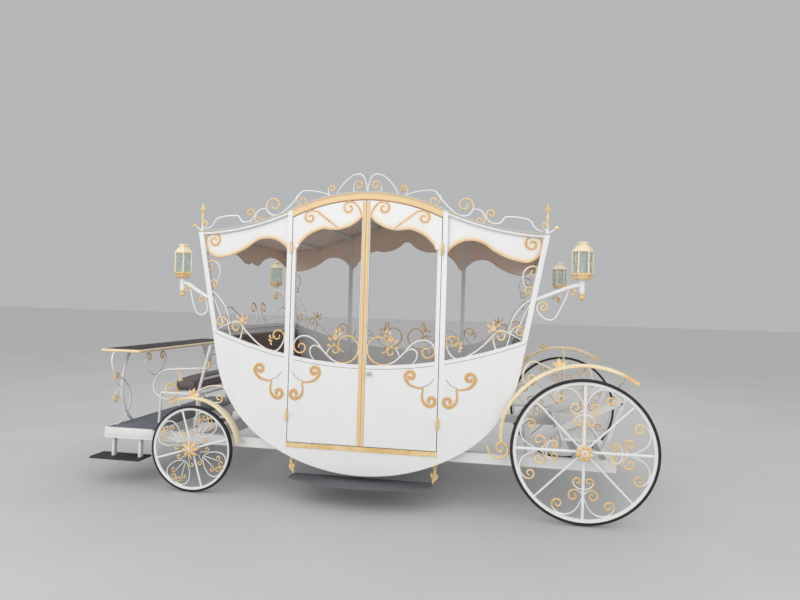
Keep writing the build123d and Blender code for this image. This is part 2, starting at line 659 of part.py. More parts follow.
DECK_REAR_X, DECK_FRONT_X = 1830, RAIL_FRONT_X - 20
deck = box(DECK_REAR_X, DECK_FRONT_X, -DECK_HALF, DECK_HALF, RAIL_TOP_Z, DECK_TOP_Z)
fascia = box(DECK_FRONT_X - 20, RAIL_FRONT_X + 20, -DECK_HALF, DECK_HALF, RAIL_TOP_Z - 20, RAIL_TOP_Z)
rail_room = RAIL_Y + RAIL_WIDTH / 2 + 1
fascia -= box(DECK_REAR_X, RAIL_FRONT_X, -rail_room, rail_room, 0, RAIL_TOP_Z)
save("driver_deck", deck + fascia)
STEP_LEG_Y = RAIL_Y - RAIL_WIDTH / 2 - 10
step_plate = box(1930, STEP_FRONT_X, 800, 1000, STEP_PLATE_Z - 16, STEP_PLATE_Z)
step_legs = Part()
for x in (1960, 2210):
    step_legs += box(x, x + 25, STEP_LEG_Y - 10, STEP_LEG_Y + 30, STEP_PLATE_Z, RAIL_LOW_Z)
save("driver_steps", both_sides(step_plate))
save("driver_step_legs", both_sides(step_legs))
console = box(CONSOLE_REAR_X, STEP_FRONT_X - 20, -920, 920, CONSOLE_TOP_Z - 24, CONSOLE_TOP_Z)
save("console_top", console)
rear_face = scrolls(CONSOLE_SCROLLS[:1], 24) + scrolls(CONSOLE_SCROLLS[1:2])
front_face = rear_face + scrolls(CONSOLE_SCROLLS[2:])
leg_plates = Part()
for face, x in ((rear_face, CONSOLE_REAR_X + 60), (front_face, DECK_FRONT_X - 20)):
    leg_plates += cross_plate(face, x - 8, x + 8)
leg_plates -= console + box(DECK_REAR_X, RAIL_FRONT_X, 0, DECK_HALF, 0, DECK_TOP_Z)
save("console_legs", both_sides(leg_plates))

seat = box(1576, 1931, -SEAT_HALF, SEAT_HALF, SEAT_Z - 25, SEAT_Z)
side_face = scrolls(SEAT_SCROLLS)
seat_side = side_plate(side_face, SEAT_HALF - 25, SEAT_HALF - 11)
seat_side += leaning_bar((1621, SEAT_Z - 15), (1525, 1184), 26, SEAT_HALF - 25, SEAT_HALF)
seat_side += box(1966, 1992, SEAT_HALF - 25, SEAT_HALF - 4, DECK_TOP_Z, SEAT_Z - 40)
seat_side += leaning_bar((1600, SEAT_Z - 12), (1600, RAIL_TOP_Z), 26, SEAT_HALF - 25, SEAT_HALF)
seat_side += box(1587, 1613, SEAT_HALF, RAIL_Y, RAIL_TOP_Z, RAIL_TOP_Z + 20)
seat_back = leaning_bar((1545, 1090), (1525, 1184), 18, -SEAT_HALF, SEAT_HALF)
seat_back += leaning_bar((1600, 850), (1588, 900), 18, -SEAT_HALF, SEAT_HALF)
save("driver_seat_frame", seat + both_sides(seat_side) + seat_back - deck)
save("driver_seat_cushion", box(1640, 1850, -620, 620, SEAT_Z, SEAT_Z + 110))


# Mudguards

def mudguard(wheel, clearance, first, last, width, tail=()):
    """Curved strip over a wheel from one angle forward to another, then along the tail's moves."""
    radius = wheel["radius"] + clearance
    a = radians(first)
    start = (wheel["x"] + radius * cos(a), wheel["radius"] + radius * sin(a))
    stations = chord_stations(start, first - 90, [(radius, last - first), *tail], GUARD_TURN)
    strip = Polyline(*[beside(s, -4) for s in stations], *[beside(s, 4) for s in stations[::-1]], close=True)
    guard = side_plate(make_face(strip), wheel["y"] - width / 2, wheel["y"] + width / 2)
    return guard, stations[-1]


FRONT_CLEAR, REAR_CLEAR = 60, 85
front_guard, _ = mudguard(FRONT_WHEEL, FRONT_CLEAR, 170, 60, 110)
front_top = FRONT_WHEEL["radius"] + FRONT_CLEAR + FRONT_WHEEL["radius"] - 4
stay_x = FRONT_WHEEL["x"]
front_guard += box(stay_x - 8, stay_x + 8, RAIL_Y - 8, RAIL_Y + 8, RAIL_TOP_Z, front_top)
front_guard += box(stay_x - 8, stay_x + 8, RAIL_Y + 8, FRONT_WHEEL["y"], front_top - 16, front_top)
guard_foot_x = FRONT_WHEEL["x"] - FRONT_WHEEL["radius"] - FRONT_CLEAR
front_guard += box(guard_foot_x - 20, guard_foot_x + 30, RAIL_Y + 30, FRONT_WHEEL["y"], 420, 440)
save("front_mudguards", both_sides(front_guard))
rear_tail = (0.8 * REAR_WHEEL["radius"], -38)
rear_guard, (foot_x, foot_z, foot_angle) = mudguard(REAR_WHEEL, REAR_CLEAR, 126, 30, 50, [rear_tail])
rear_top = 2 * REAR_WHEEL["radius"] + REAR_CLEAR - 4
stay_x = REAR_WHEEL["x"]
rear_guard += box(stay_x - 10, stay_x + 10, RAIL_Y - 8, RAIL_Y + 8, REAR_AXLE_TOP_Z, rear_top)
rear_guard += box(stay_x - 10, stay_x + 10, RAIL_Y + 8, REAR_WHEEL["y"] + 10, rear_top - 16, rear_top)
rear_guard += box(foot_x - 12, foot_x + 12, RAIL_Y + 10, RAIL_Y + 30, RAIL_TOP_Z, foot_z + 10)
rear_guard += box(foot_x - 12, foot_x + 12, RAIL_Y + 10, REAR_WHEEL["y"], foot_z - 6, foot_z + 10)
foot_curl = scroll((foot_x, foot_z, degrees(foot_angle), [], None, (85, 1, 8)), 16)
rear_guard += side_plate(foot_curl, REAR_WHEEL["y"] - 10, REAR_WHEEL["y"] + 10)
save("rear_mudguards", both_sides(rear_guard))


# Side step and rear rack

step_face = outline(
    ThreePointArc((-580, 1040), (0, SIDE_REACH_Y), (580, 1040)),
    Polyline((580, 1040), (580, RAIL_Y - 20), (-580, RAIL_Y - 20), (-580, 1040)),
)
SIDE_STEP_Z = 187
save("side_step", extrude(Plane.XY.offset(SIDE_STEP_Z - 15) * step_face, 15))
bracket_row = (560, SIDE_STEP_Z - 2, 80, [(630, 270), (625, 385)], None, None)
bracket_curl = (566, SIDE_STEP_Z + 22, 80, [(600, 250)], None, (24, -1, 3))
bracket_face = scroll(bracket_row) + scroll(bracket_curl)
bracket = side_plate(bracket_face, RAIL_Y - 10, RAIL_Y + 10) - box(0, 700, 0, SIDE_REACH_Y, 0, SIDE_STEP_Z)
save("side_step_brackets", fore_and_aft(bracket) - hull_prism)

RACK_Z = REAR_AXLE_TOP_Z + 30
RACK_FRONT_X, RACK_REAR_X, RACK_HALF = REAR_WHEEL["x"] + 150, REAR_WHEEL["x"] - 150, 880
RACK_SLATS = 9
rack = box(RACK_REAR_X, RACK_FRONT_X, -RACK_HALF, RACK_HALF, RACK_Z - 20, RACK_Z)
rack -= box(RACK_REAR_X + 20, RACK_FRONT_X - 20, 20 - RACK_HALF, RACK_HALF - 20, RACK_Z - 30, RACK_Z + 10)
for k in range(RACK_SLATS):
    y = (k - (RACK_SLATS - 1) / 2) * 2 * RACK_HALF / RACK_SLATS
    rack += box(RACK_REAR_X + 10, RACK_FRONT_X - 10, y - 6, y + 6, RACK_Z - 16, RACK_Z - 4)
rack += box(REAR_WHEEL["x"] - 25, REAR_WHEEL["x"] + 25, -RACK_HALF, RACK_HALF, REAR_AXLE_TOP_Z, RACK_Z - 16)
brace = leaning_bar((-1310, RAIL_TOP_Z - 10), (-2060, 856), 60, 480, 510)
brace += leaning_bar((-1930, RAIL_TOP_Z - 10), (-2089, 875), 34, 480, 510)
brace -= box(RAIL_REAR_X, 0, 400, 600, 0, RAIL_TOP_Z)
save("rear_rack", rack + both_sides(brace))


# Lanterns

def lantern(place):
    """Lantern on a cranked arm, as arm, frame, glass and bulb."""
    x, y, z = place
    sign = 1 if x > 0 else -1
    post_x = BELT_END_X + (z - 130 - BELT_END_Z) * POST_SLOPE
    out, across = sign * x - post_x, y - (SIDE_Y - TUBE / 2)
    reach = hypot(out, across)
    along = (sign * out / reach, across / reach, 0)
    plane = Plane(origin=(sign * post_x, SIDE_Y - TUBE / 2, z), x_dir=along, z_dir=Vector(*along).cross(Vector(0, 0, 1)))
    squeeze = reach / LANTERN_REACH
    arm_face = scroll((-20, -160, 22, [(reach * 0.6, -72), (reach, -35)], None, None), 34)
    for s, drop, heading, points, first, last in LANTERN_SCROLLS:
        drawn = [(squeeze * a, b) for a, b in points]
        ends = [turns and (squeeze ** 0.5 * turns[0], *turns[1:]) for turns in (first, last)]
        arm_face += scroll((squeeze * s, drop, heading, drawn, *ends), 12)
    arm = extrude(plane * arm_face, 8, both=True)
    arm += rod((x, y, z - 110), (x, y, z), 22) + rod((x, y, z - 145), (x, y, z - 110), 14)

    def tier(low, high, wide, taper=0):
        """One tier of the lantern."""
        return Pos(x, y, z + low) * extrude(RegularPolygon(wide, LANTERN_SIDES), high - low, taper=taper)

    frame = tier(0, 40, 52, -30) + tier(40, 50, 80) + tier(205, 215, 80) + tier(215, 280, 76, 32)
    glass = tier(50, 205, 70) - tier(50, 205, 66)
    return arm, frame, glass, tier(50, 140, 14)


parts = [lantern(place) for place in LANTERNS.values()]
arms, frames, glasses, bulbs = [parts[0][k] + parts[1][k] for k in range(4)]
save("lantern_arms", both_sides(arms - posts_solid))
save("lantern_frames", both_sides(frames - arms))
save("lantern_glass", both_sides(glasses))
save("lantern_bulbs", both_sides(bulbs))


# Roof ornament

above_roof = side_plate(under_roof(0), -SIDE_Y, SIDE_Y)
cresting = side_plate(scrolls(CREST_SCROLLS), SIDE_Y - 20, SIDE_Y - 20 + SCROLL_DEPTH)
save("roof_cresting", both_sides(fore_and_aft(cresting) - above_roof))
FINIAL = (ROOF_END_X - 20, SIDE_Y - 30, ROOF_END_Z - 20)


def finial():
    """Spear with a side curl, standing on the front left corner of the roof."""
    x, y, z = FINIAL
    spear = rod(FINIAL, (x, y, z + 190), 7, 4) + rod((x, y, z + 165), (x, y, z + 185), 20, 4)
    spear += Pos(x, y, z + 185) * extrude(RegularPolygon(14, 4), 50, taper=14)
    side_curl = scroll((x, z + 60, 90, [], None, (34, 1, 4)), 10)
    ball = rod((x, y, z + 45), (x + 60, y, z + 45), 6, 4) + rod((x + 50, y, z + 45), (x + 76, y, z + 45), 15, 6)
    return spear + side_plate(side_curl, y - 6, y + 6) + ball


save("corner_finials", both_sides(fore_and_aft(finial()) - above_roof))
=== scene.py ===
import json
from math import atan2, ceil, cos, degrees, hypot, pi, radians, sin, sqrt

import bmesh
import bpy
import numpy as np
from mathutils import Matrix, Vector


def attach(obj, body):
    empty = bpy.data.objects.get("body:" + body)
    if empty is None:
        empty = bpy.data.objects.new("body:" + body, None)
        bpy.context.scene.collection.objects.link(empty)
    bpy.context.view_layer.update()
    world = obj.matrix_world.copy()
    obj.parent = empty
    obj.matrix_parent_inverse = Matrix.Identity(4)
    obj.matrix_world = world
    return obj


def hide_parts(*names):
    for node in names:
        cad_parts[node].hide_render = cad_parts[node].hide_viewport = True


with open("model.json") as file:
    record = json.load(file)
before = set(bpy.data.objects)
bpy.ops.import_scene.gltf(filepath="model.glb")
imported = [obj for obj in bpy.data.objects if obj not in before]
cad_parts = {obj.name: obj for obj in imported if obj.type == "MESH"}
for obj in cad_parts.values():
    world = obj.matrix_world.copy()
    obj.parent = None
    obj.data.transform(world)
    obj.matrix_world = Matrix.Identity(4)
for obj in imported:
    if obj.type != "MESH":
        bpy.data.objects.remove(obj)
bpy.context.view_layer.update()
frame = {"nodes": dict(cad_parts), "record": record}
NODES = frame["nodes"]
SCENE = bpy.context.scene

ALONG, ACROSS, UP = (1, 0, 0), (0, 1, 0), (0, 0, 1)
# The two ends with their signs along X
ENDS = (("front", 1), ("rear", -1))

# Dimensions in mm from the middle of the cabin, as in the CAD source
ORIGIN_X = 67.5
SIDE_Y = 1030
TUBE = 40
BELT_END_X, BELT_END_Z, BELT_LOW_Z = 1275.3, 1330.3, 1080
LEAN = radians(10.4)
LEAN_SIN, LEAN_COS = sin(LEAN), cos(LEAN)
LEAN_OUT = (LEAN_COS, 0, -LEAN_SIN)
ROOF_TOP_Z, ROOF_END_X, ROOF_END_Z = 2490, 1428.4, 2164.7
ROOF_SHEET, ARCH_BAND = 12, 55
JAMB_X, JAMB_OUT_X, DOOR_HALF = 612, 652, 606
DOOR_SILL_Z = 460
HINGE_HEIGHTS = (680, 2035)
CREST_RADIUS, CREST_RUN = 1450, 601.3
FLARE_RADIUS, FLARE_X, FLARE_Z = 2177.9, 1504.5, 4341.3
# The tread is the tyre's outer radius, main and thin are the spokes' radii, and turned is in degrees
REAR_WHEEL = {"x": -1710, "y": 1070, "radius": 545, "tread": 541, "tyre": 27, "rim": 24,
              "main": 12, "thin": 8, "turned": 0}
FRONT_WHEEL = {"x": 1421, "y": 1045, "radius": 356, "tread": 356, "tyre": 20, "rim": 20,
               "main": 9, "turned": -17}
# Middle of the base of the lanterns on the left
LANTERNS = ((1540, 1060, 1765), (-1660, 1115, 1815))
LANTERN_REACH = 330
RAIL_Y, RAIL_TOP_Z = 930, 460
DECK_TOP_Z, DECK_HALF, DECK_REAR_X, DECK_FRONT_X = 472, 950, 1830, 2260
CONSOLE_TOP_Z, CONSOLE_REAR_X, CONSOLE_FRONT_X, CONSOLE_HALF = 1139, 1998, 2370, 920
SEAT_Z, SEAT_HALF, SEAT_REAR_X, SEAT_FRONT_X = 760, 700, 1545, 1931
# Foot of the seat's rear upright
SEAT_FOOT_X = 1572
BENCH_X, BENCH_Z = 660, 850
RACK_Z, RACK_HALF, RACK_SLAT_Y = 600, 880, 293
# A sheet of a valance lies this far inside the cabin's side and is this thick
VALANCE_INSET, VALANCE_THICK = 26, 12
# A spiral's radius starts larger than the table's and shrinks by this share in each quarter turn
CURL_START, CURL_SHRINK = 1.06, 0.76
# Radius of a scroll's bar, sides of its section, and how it thins over the points at its ends
BAR, ROUND = 7, 12
TIP_SHARE, TIP_POINTS = 0.7, 14
WHEEL_SIDES = 112
SHARP_ANGLE = radians(40)
# How firmly the foam pads are filled, and the frames that they are blown up for
PAD_FILL, CLOTH_FRAMES = 0.8, 20
# Focal length and width of the photo in pixels, the camera in metres, and its yaw, pitch and roll in degrees
PHOTO_FOCAL, PHOTO_WIDTH, SENSOR = 634.9, 800, 36
CAMERA = (-1.2145, 5.942, 1.600)
CAMERA_TURNS = (9.90, 0.38, 1.64)
# Lamps as (place in metres, size, power), and the point that they face
LAMPS = (((3.5, 6.0, 5.0), 5.0, 125), ((-5.5, 5.0, 4.0), 4.0, 70), ((0, -6, 6.5), 5.0, 120),
         ((0.5, 9.5, 3.0), 5.0, 170))
LAMP_TARGET = (0, 0, 1)
AIR_LIGHT, AIR_STRENGTH, AIR_SEEN = (1.0, 0.99, 0.98, 1), 0.82, (0.46, 0.47, 0.48, 1)

# Scrollwork seen from the left with X forward, in the same rows as the CAD source:
# (x, z, heading, points it runs through, start curl, end curl), a curl as (radius, hand, quarters)
BELT_SCROLLS = [
    (1256, 1340, 146, [(1095, 1419), (1036, 1400), (900, 1258), (785, 1191), (705, 1208), (661, 1290)],
     None, (60, -1, 4.6)),
    (1150, 1398, -100, [(1125, 1300), (1080, 1263), (1034, 1296), (1022, 1345)], None, (57, -1, 4.6)),
    (1149, 1398, 75, [(1180, 1444)], None, (46, -1, 4.6)),
    (1138, 1404, 85, [(1165, 1510), (1290, 1660), (1320, 1700)], None, (46, 1, 5)),
    (1255, 1760, 125, [(1232, 1840), (1290, 1915)], None, (48, -1, 4)),
    (1312, 1650, -125, [(1244, 1524), (1190, 1405)], None, None),
]
DOOR_SCROLLS = [
    (195, 1119, 12, [(265, 1152), (358, 1250), (440, 1315), (518, 1318), (573, 1255)],
     (138, -1, 4), (61, -1, 4.6)),
    (325, 1212, 40, [(378, 1245), (437, 1203), (405, 1140)], None, None),
    (297, 1178, 95, [(258, 1246)], None, (40, 1, 4)),
]
END_SCROLLS = [
    (60, 180, -90, [(90, 90), (200, 25), (400, 75), (600, 195), (690, 205), (780, 110)],
     (66, -1, 4), (62, -1, 4)),
]
CREST_SCROLLS = [
    (4, 2485, 92, [(28, 2598), (80, 2628), (140, 2606), (250, 2470)], None, None),
    (112, 2480, 88, [(112, 2530)], None, (42, 1, 4.6)),
    (318, 2452, 85, [(322, 2500)], None, (33, 1, 4.5)),
    (306, 2462, 20, [(511, 2498), (560, 2472), (700, 2322), (770, 2297), (843, 2362)], None, (66, 1, 4.6)),
    (584, 2458, -80, [(578, 2405)], None, (42, -1, 4.5)),
    (836, 2344, 25, [(880, 2348), (925, 2312), (935, 2270)], None, (36, -1, 4.5)),
    (943, 2306, -88, [(985, 2246), (1035, 2240), (1072, 2270), (1102, 2292), (1250, 2276), (1296, 2236),
                      (1325, 2200), (1372, 2184)], (38, -1, 4.2), None),
]
# Gold flowers and leaves on the scrolls as (x, z, size, direction of the leaf or None for a flower)
WINDOW_BLOOMS = [
    (1022, 1436, 26, None), (1052, 1446, 22, 60), (996, 1440, 22, 130), (1024, 1462, 20, 95),
    (1006, 1418, 20, 200), (1040, 1420, 20, -20), (770, 1286, 24, 75), (758, 1270, 22, 20),
    (756, 1292, 20, 135), (774, 1262, 18, 240),
]
DOOR_BLOOMS = [
    (226, 1322, 26, None), (252, 1300, 24, 25), (222, 1350, 24, 100), (188, 1366, 22, 75),
    (262, 1262, 20, -20), (204, 1340, 22, 150), (240, 1278, 20, 250),
]
SEAT_BLOOMS = [(1750, 885, 26, 200), (1750, 885, 24, 130), (1750, 885, 22, 250), (1742, 915, 20, 60)]
FRONT_GUARD_BLOOMS = [(1436, 800, 40, 175), (1436, 800, 36, 115), (1436, 800, 36, 235), (1436, 800, 30, 60),
                      (1436, 800, 30, None)]
REAR_GUARD_BLOOMS = [(-1520, 1170, 38, 80), (-1520, 1170, 36, 140), (-1520, 1170, 36, 25),
                     (-1520, 1170, 34, None)]
STEP_BLOOMS = [(600, 340, 34, 75), (590, 300, 34, 100), (584, 262, 30, 70), (580, 232, 28, 110)]
# Below a lantern as (distance out from the post, height above the lantern, then as above)
LANTERN_SCROLLS = [
    (230, -90, -105, [(205, -160), (150, -272), (75, -298), (8, -235), (30, -172)],
     (34, -1, 4), (40, -1, 5)),
]
# As shares of the wheel's radius from the hub along a spoke: (outwards, sideways, then as above)
REAR_SPOKE_SCROLLS = [
    (0.6, 0, 25, [(0.73, 0.06), (0.84, 0.17), (0.85, 0.3), (0.77, 0.4)], None, (0.08, 1, 4.5)),
    (0.6, 0, 155, [(0.53, 0.06)], None, (0.09, -1, 4.5)),
    (0.5, 0.01, 80, [(0.43, 0.13)], None, (0.058, 1, 4)),
]
FRONT_SPOKE_SCROLLS = [
    (0.33, 0.02, 65, [(0.47, 0.2), (0.66, 0.29), (0.84, 0.22), (0.88, 0.1)], None, (0.085, -1, 4)),
    (0.34, 0.015, 14, [(0.66, 0.09)], None, (0.06, 1, 3.6)),
    (0.22, 0.03, 50, [(0.34, 0.12)], None, (0.06, 1, 4)),
]
# In the plane of the console's legs as (y, z, then as above)
CONSOLE_THICK = (671, 1120, -50, [(792, 810), (606, 470)], None, None)
CONSOLE_THIN = (895, 1120, -10, [(945, 1065), (810, 874), (861, 470)], None, None)
CONSOLE_CURLS = [
    (797, 790, 20, [(896, 866)], None, (42, 1, 5)),
    (797, 800, -20, [(890, 742)], None, (42, -1, 5)),
]
CONSOLE_LYRE = [
    (565, 888, 5, [(664, 925), (728, 1010), (690, 1090)], None, (38, 1, 4)),
    (555, 888, 175, [(456, 925), (392, 1010), (430, 1090)], None, (38, -1, 4)),
]
SEAT_SCROLLS = [
    (1494, 983, -4, [(1850, 957), (1955, 905), (1998, 816), (1960, 722), (1844, 690)],
     (34, -1, 4), (84, -1, 5)),
]
# Stations of a beaten leaf as (share of its length, half width, lift), and its section as (across, out)
LEAF_STATIONS = ((0.0, 0.12, 0.1), (0.2, 0.3, 0.2), (0.5, 0.42, 0.34), (0.8, 0.26, 0.28), (1.0, 0.04, 0.1))
LEAF_SECTION = ((-1, 0.12), (-0.5, -0.02), (0, -0.1), (0.5, -0.02), (1, 0.12), (0.5, 0.1), (0, 0.02),
                (-0.5, 0.1))
# Airbrushed scrolls beside a jamb, as (distance from the jamb's axis, z, then as above)
PANEL_AXIS = 622
PANEL_SCROLLS = [
    (128, 950, -5, [(215, 962), (270, 1020)], None, (44, 1, 4.4)),
    (128, 950, -75, [(137, 885), (86, 815)], None, (42, -1, 4)),
]
PANEL_STEM = (140, 960, 172, [(48, 1028)], None, None)
# Between the mudguards and the hull as (x, z, then as above)
REAR_GUARD_SCROLLS = [
    (-1251, 1082, 95, [(-1291, 1178), (-1354, 1192), (-1500, 1135)], (60, -1, 4.8), None),
]
FRONT_GUARD_SCROLLS = [
    (1425, 810, 140, [(1212, 883), (1144, 832)], None, None),
    (1391, 781, -150, [(1210, 743)], None, (36, -1, 4.4)),
]
# Under the hull at the ends of the side step
STEP_SCROLLS = [
    (576, 186, 88, [(590, 280), (612, 392)], None, None),
    (578, 200, 60, [(600, 225)], None, (20, 1, 4)),
]
# Raised lines on the valances
QUARTER_SPIRAL = [(1374, 2050, 92, [(1364, 2108), (1316, 2148)], None, (62, 1, 5))]
DOOR_SPIRALS = [
    (40, 2300, 80, [(95, 2394)], None, (58, -1, 4.5)),
    (235, 2200, 37, [(400, 2323)], None, None),
    (400, 2323, 30, [(470, 2330)], None, (50, -1, 4.5)),
]


def row_point(x, y, z):
    """A point in mm from the middle of the cabin, in metres in the row's frame."""
    return ((x - ORIGIN_X) / 1000, y / 1000, z / 1000)


def placed(name, data):
    """New object in the scene."""
    made = bpy.data.objects.new(name, data)
    SCENE.collection.objects.link(made)
    return made


# Lines in a plane

def straight(a, b, count=24):
    """Even points between two."""
    a, b = np.array(a, float), np.array(b, float)
    return [a + (b - a) * t for t in np.linspace(0, 1, count)]


def arc_line(x, z, heading, points, step=6):
    """Smooth points on arcs, each tangent to the one before, through the points."""
    line = [(x, z)]
    angle = radians(heading)
    for px, pz in points:
        run = hypot(px - x, pz - z)
        swing = (atan2(pz - z, px - x) - angle + pi) % (2 * pi) - pi
        count = max(2, ceil(abs(degrees(2 * swing)) / step))
        if abs(swing) < 0.01:
            line += [(x + (px - x) * k / count, z + (pz - z) * k / count) for k in range(1, count + 1)]
        else:
            side = 1 if swing > 0 else -1
            radius = run / (2 * sin(abs(swing)))
            cx, cz = x - side * radius * sin(angle), z + side * radius * cos(angle)
            for k in range(1, count + 1):
                turned = angle + 2 * swing * k / count
                line.append((cx + side * radius * sin(turned), cz - side * radius * cos(turned)))
        angle += 2 * swing
        x, z = px, pz
    return line, angle


def curl_line(x, z, angle, radius, hand, quarters, step=9):
    """Points of a spiral that tightens."""
    line = []
    for k in range(int(quarters * 90 / step)):
        size = CURL_START * radius * CURL_SHRINK ** (k * step / 90)
        run = 2 * size * sin(radians(step) / 2)
        middle = angle + hand * radians(step) / 2
        x, z = x + run * cos(middle), z + run * sin(middle)
        angle += hand * radians(step)
        line.append((x, z))
    return line


def lengths(line):
    """Length of a line up to each of its points."""
    return np.concatenate([[0], np.cumsum(np.hypot(*np.diff(line, axis=0).T))])


def stroke(row, fade=170):
    """Line of one scroll with the share of gold at each point."""
    x, z, heading, points, start_curl, end_curl = row
    line, last = arc_line(x, z, heading, points)
    before, after = [], []
    if start_curl:
        before = curl_line(x, z, radians(heading) + pi, *start_curl)[::-1]
    if end_curl:
        after = curl_line(*line[-1], last, *end_curl)
    whole = np.array(before + line + after)
    along = lengths(whole)
    gold = np.zeros(len(whole))
    if end_curl:
        edge = along[len(before) + len(line) - 1] - 0.3 * fade
        gold = np.maximum(gold, np.clip((along - edge) / fade + 0.2, 0, 1))
    if start_curl:
        edge = along[len(before)] + 0.3 * fade
        gold = np.maximum(gold, np.clip((edge - along) / fade + 0.2, 0, 1))
    return whole, gold


# Meshes

class Work:
    """Collects the rings and faces of one piece, in mm from the middle of the cabin."""

    def __init__(self):
        self.points, self.faces, self.gold, self.kinds = [], [], [], []

    def add(self, points, faces, gold=0.0, kinds=0):
        """Adds points and the faces between them; kinds picks the material of each face."""
        base = len(self.points)
        self.points += [tuple(p) for p in points]
        self.faces += [tuple(base + i for i in face) for face in faces]
        self.gold += list(np.broadcast_to(gold, len(points)))
        self.kinds += list(np.broadcast_to(kinds, len(faces)))

    def loft(self, rings, gold=0.0, close_along=False, caps=True):
        """Skin over rings of equal length; gold has one value for each ring."""
        rings = np.asarray(rings, float)
        count, sides = rings.shape[:2]
        gold = np.broadcast_to(gold, count)
        faces = []
        for i in range(count if close_along else count - 1):
            a, b = i * sides, (i + 1) % count * sides
            faces += [(a + k, a + (k + 1) % sides, b + (k + 1) % sides, b + k) for k in range(sides)]
        if caps and not close_along:
            faces += [tuple(range(sides))[::-1], tuple((count - 1) * sides + k for k in range(sides))]
        self.add(rings.reshape(-1, 3), faces, np.repeat(gold, sides))

    def tube(self, line, radius, gold=0.0, normal=ACROSS, depth=1.0, sides=ROUND):
        """Round bar along points; depth is its thickness along the normal as a share of its width."""
        line = np.asarray(line, float)
        count = len(line)
        radius = np.broadcast_to(radius, count).astype(float)
        gold = np.broadcast_to(gold, count).astype(float)
        ahead = np.gradient(line, axis=0)
        ahead /= np.linalg.norm(ahead, axis=1)[:, None]
        up = np.asarray(normal, float)
        up = up - ahead * (ahead @ up)[:, None]
        up /= np.linalg.norm(up, axis=1)[:, None]
        across = np.cross(up, ahead)
        angles = np.arange(sides) * 2 * pi / sides
        rings = []
        shares = [(0, -0.7, 0.35), (0, -0.4, 0.8)] + [(i, 0, 1) for i in range(count)]
        shares += [(count - 1, 0.4, 0.8), (count - 1, 0.7, 0.35)]
        for i, out, size in shares:
            middle = line[i] + ahead[i] * out * radius[i]
            wide, deep = across[i] * radius[i] * size, up[i] * radius[i] * depth * size
            rings.append([middle + wide * cos(a) + deep * sin(a) for a in angles])
        self.loft(rings, [gold[i] for i, _, _ in shares])

    def scrolls(self, rows, place, radius=BAR, normal=ACROSS, depth=1.0, more_gold=0.0, fade=170):
        """Scrolls of a table as bars; place turns their two numbers into a point."""
        for row in rows:
            line, gold = stroke(row, fade)
            order = np.arange(len(line))
            ends = np.minimum(1, np.minimum(order, order[::-1]) / TIP_POINTS)
            self.tube([place(a, b) for a, b in line], radius * (TIP_SHARE + (1 - TIP_SHARE) * ends),
                      np.clip(gold + more_gold, 0, 1), normal, depth)

    def lathe(self, profile, centre, axis, gold=0.0, sides=32, closed=False, side=None):
        """Turned form; the profile is (radius, distance along the axis)."""
        axis = Vector(axis).normalized()
        side = Vector(side) if side else axis.orthogonal().normalized()
        other = axis.cross(side)
        rings = []
        for radius, along in profile:
            middle = Vector(centre) + axis * along
            rings.append([middle + (side * cos(a) + other * sin(a)) * radius
                          for a in np.arange(sides) * 2 * pi / sides])
        self.loft(rings, gold, close_along=closed)

    def block(self, low, high, soften=3):
        """Box with eased edges."""
        made = bmesh.new()
        bmesh.ops.create_cube(made, size=1)
        size = [h - l for l, h in zip(low, high)]
        for vert in made.verts:
            vert.co = Vector([l + (c + 0.5) * s for l, c, s in zip(low, vert.co, size)])
        ease = min(soften, 0.3 * min(size))
        bmesh.ops.bevel(made, geom=list(made.edges), offset=ease, segments=2, affect="EDGES", profile=0.5)
        made.verts.index_update()
        self.add([v.co.copy() for v in made.verts], [[v.index for v in f.verts] for f in made.faces])
        made.free()

    def band(self, line, section, gold=0.0, wide=1.0):
        """Strip along points at one y; the section is (outwards, across, gold), and wide scales across."""
        line = np.asarray(line, float)
        ahead = np.gradient(line[:, [0, 2]], axis=0)
        ahead /= np.linalg.norm(ahead, axis=1)[:, None]
        wide = np.broadcast_to(wide, len(line))
        gold = np.broadcast_to(gold, len(line))
        rings = [[(p[0] - t[1] * out, p[1] + across * w, p[2] + t[0] * out) for out, across, _ in section]
                 for p, t, w in zip(line, ahead, wide)]
        base = len(self.gold)
        self.loft(rings)
        tones = [max(g, tone) for g in gold for _, _, tone in section]
        self.gold[base:base + len(tones)] = tones

    def blooms(self, rows, place, out, mirror=1):
        """Flowers and leaves of a table; place turns its first two numbers into a point."""
        for x, z, size, leaf in rows:
            self.bloom(Vector(place(mirror * x, z)), size, Vector((mirror, 0, 0)), Vector(out), leaf)

    def bloom(self, middle, size, across, out, leaf):
        """Beaten flower of five petals, or one pointed leaf in the direction given in degrees."""
        ways = [18 + 72 * k for k in range(5)] if leaf is None else [leaf]
        for k, way in enumerate(ways):
            ahead = across * cos(radians(way)) + Vector(UP) * sin(radians(way))
            side = out.cross(ahead)
            length = size * (1.0 + 0.12 * (k % 2) if leaf is None else 1.7)
            self.loft([[middle + ahead * length * share + out * size * lift
                        + side * (half * size) * a + out * size * b for a, b in LEAF_SECTION]
                       for share, half, lift in LEAF_STATIONS], 1.0)
        if leaf is None:
            dome = [(a * size, b * size) for a, b in ((0.26, 0), (0.24, 0.14), (0.14, 0.26))]
            self.lathe(dome + [(0.02, 0.3 * size)], middle + out * 0.1 * size, out, 1.0, 10)

    def mirrored(self, axis):
        """Adds the mirror image, across the middle, of everything so far."""
        flip = [1, 1, 1]
        flip[axis] = -1
        base = len(self.points)
        self.points += [tuple(c * f for c, f in zip(p, flip)) for p in self.points[:base]]
        self.faces += [tuple(base + i for i in face[::-1]) for face in self.faces[:]]
        self.gold += self.gold[:base]
        self.kinds += self.kinds[:]
        return self

    def absorb(self, other):
        """Adds another piece of work."""
        self.add(other.points, other.faces, other.gold, other.kinds)

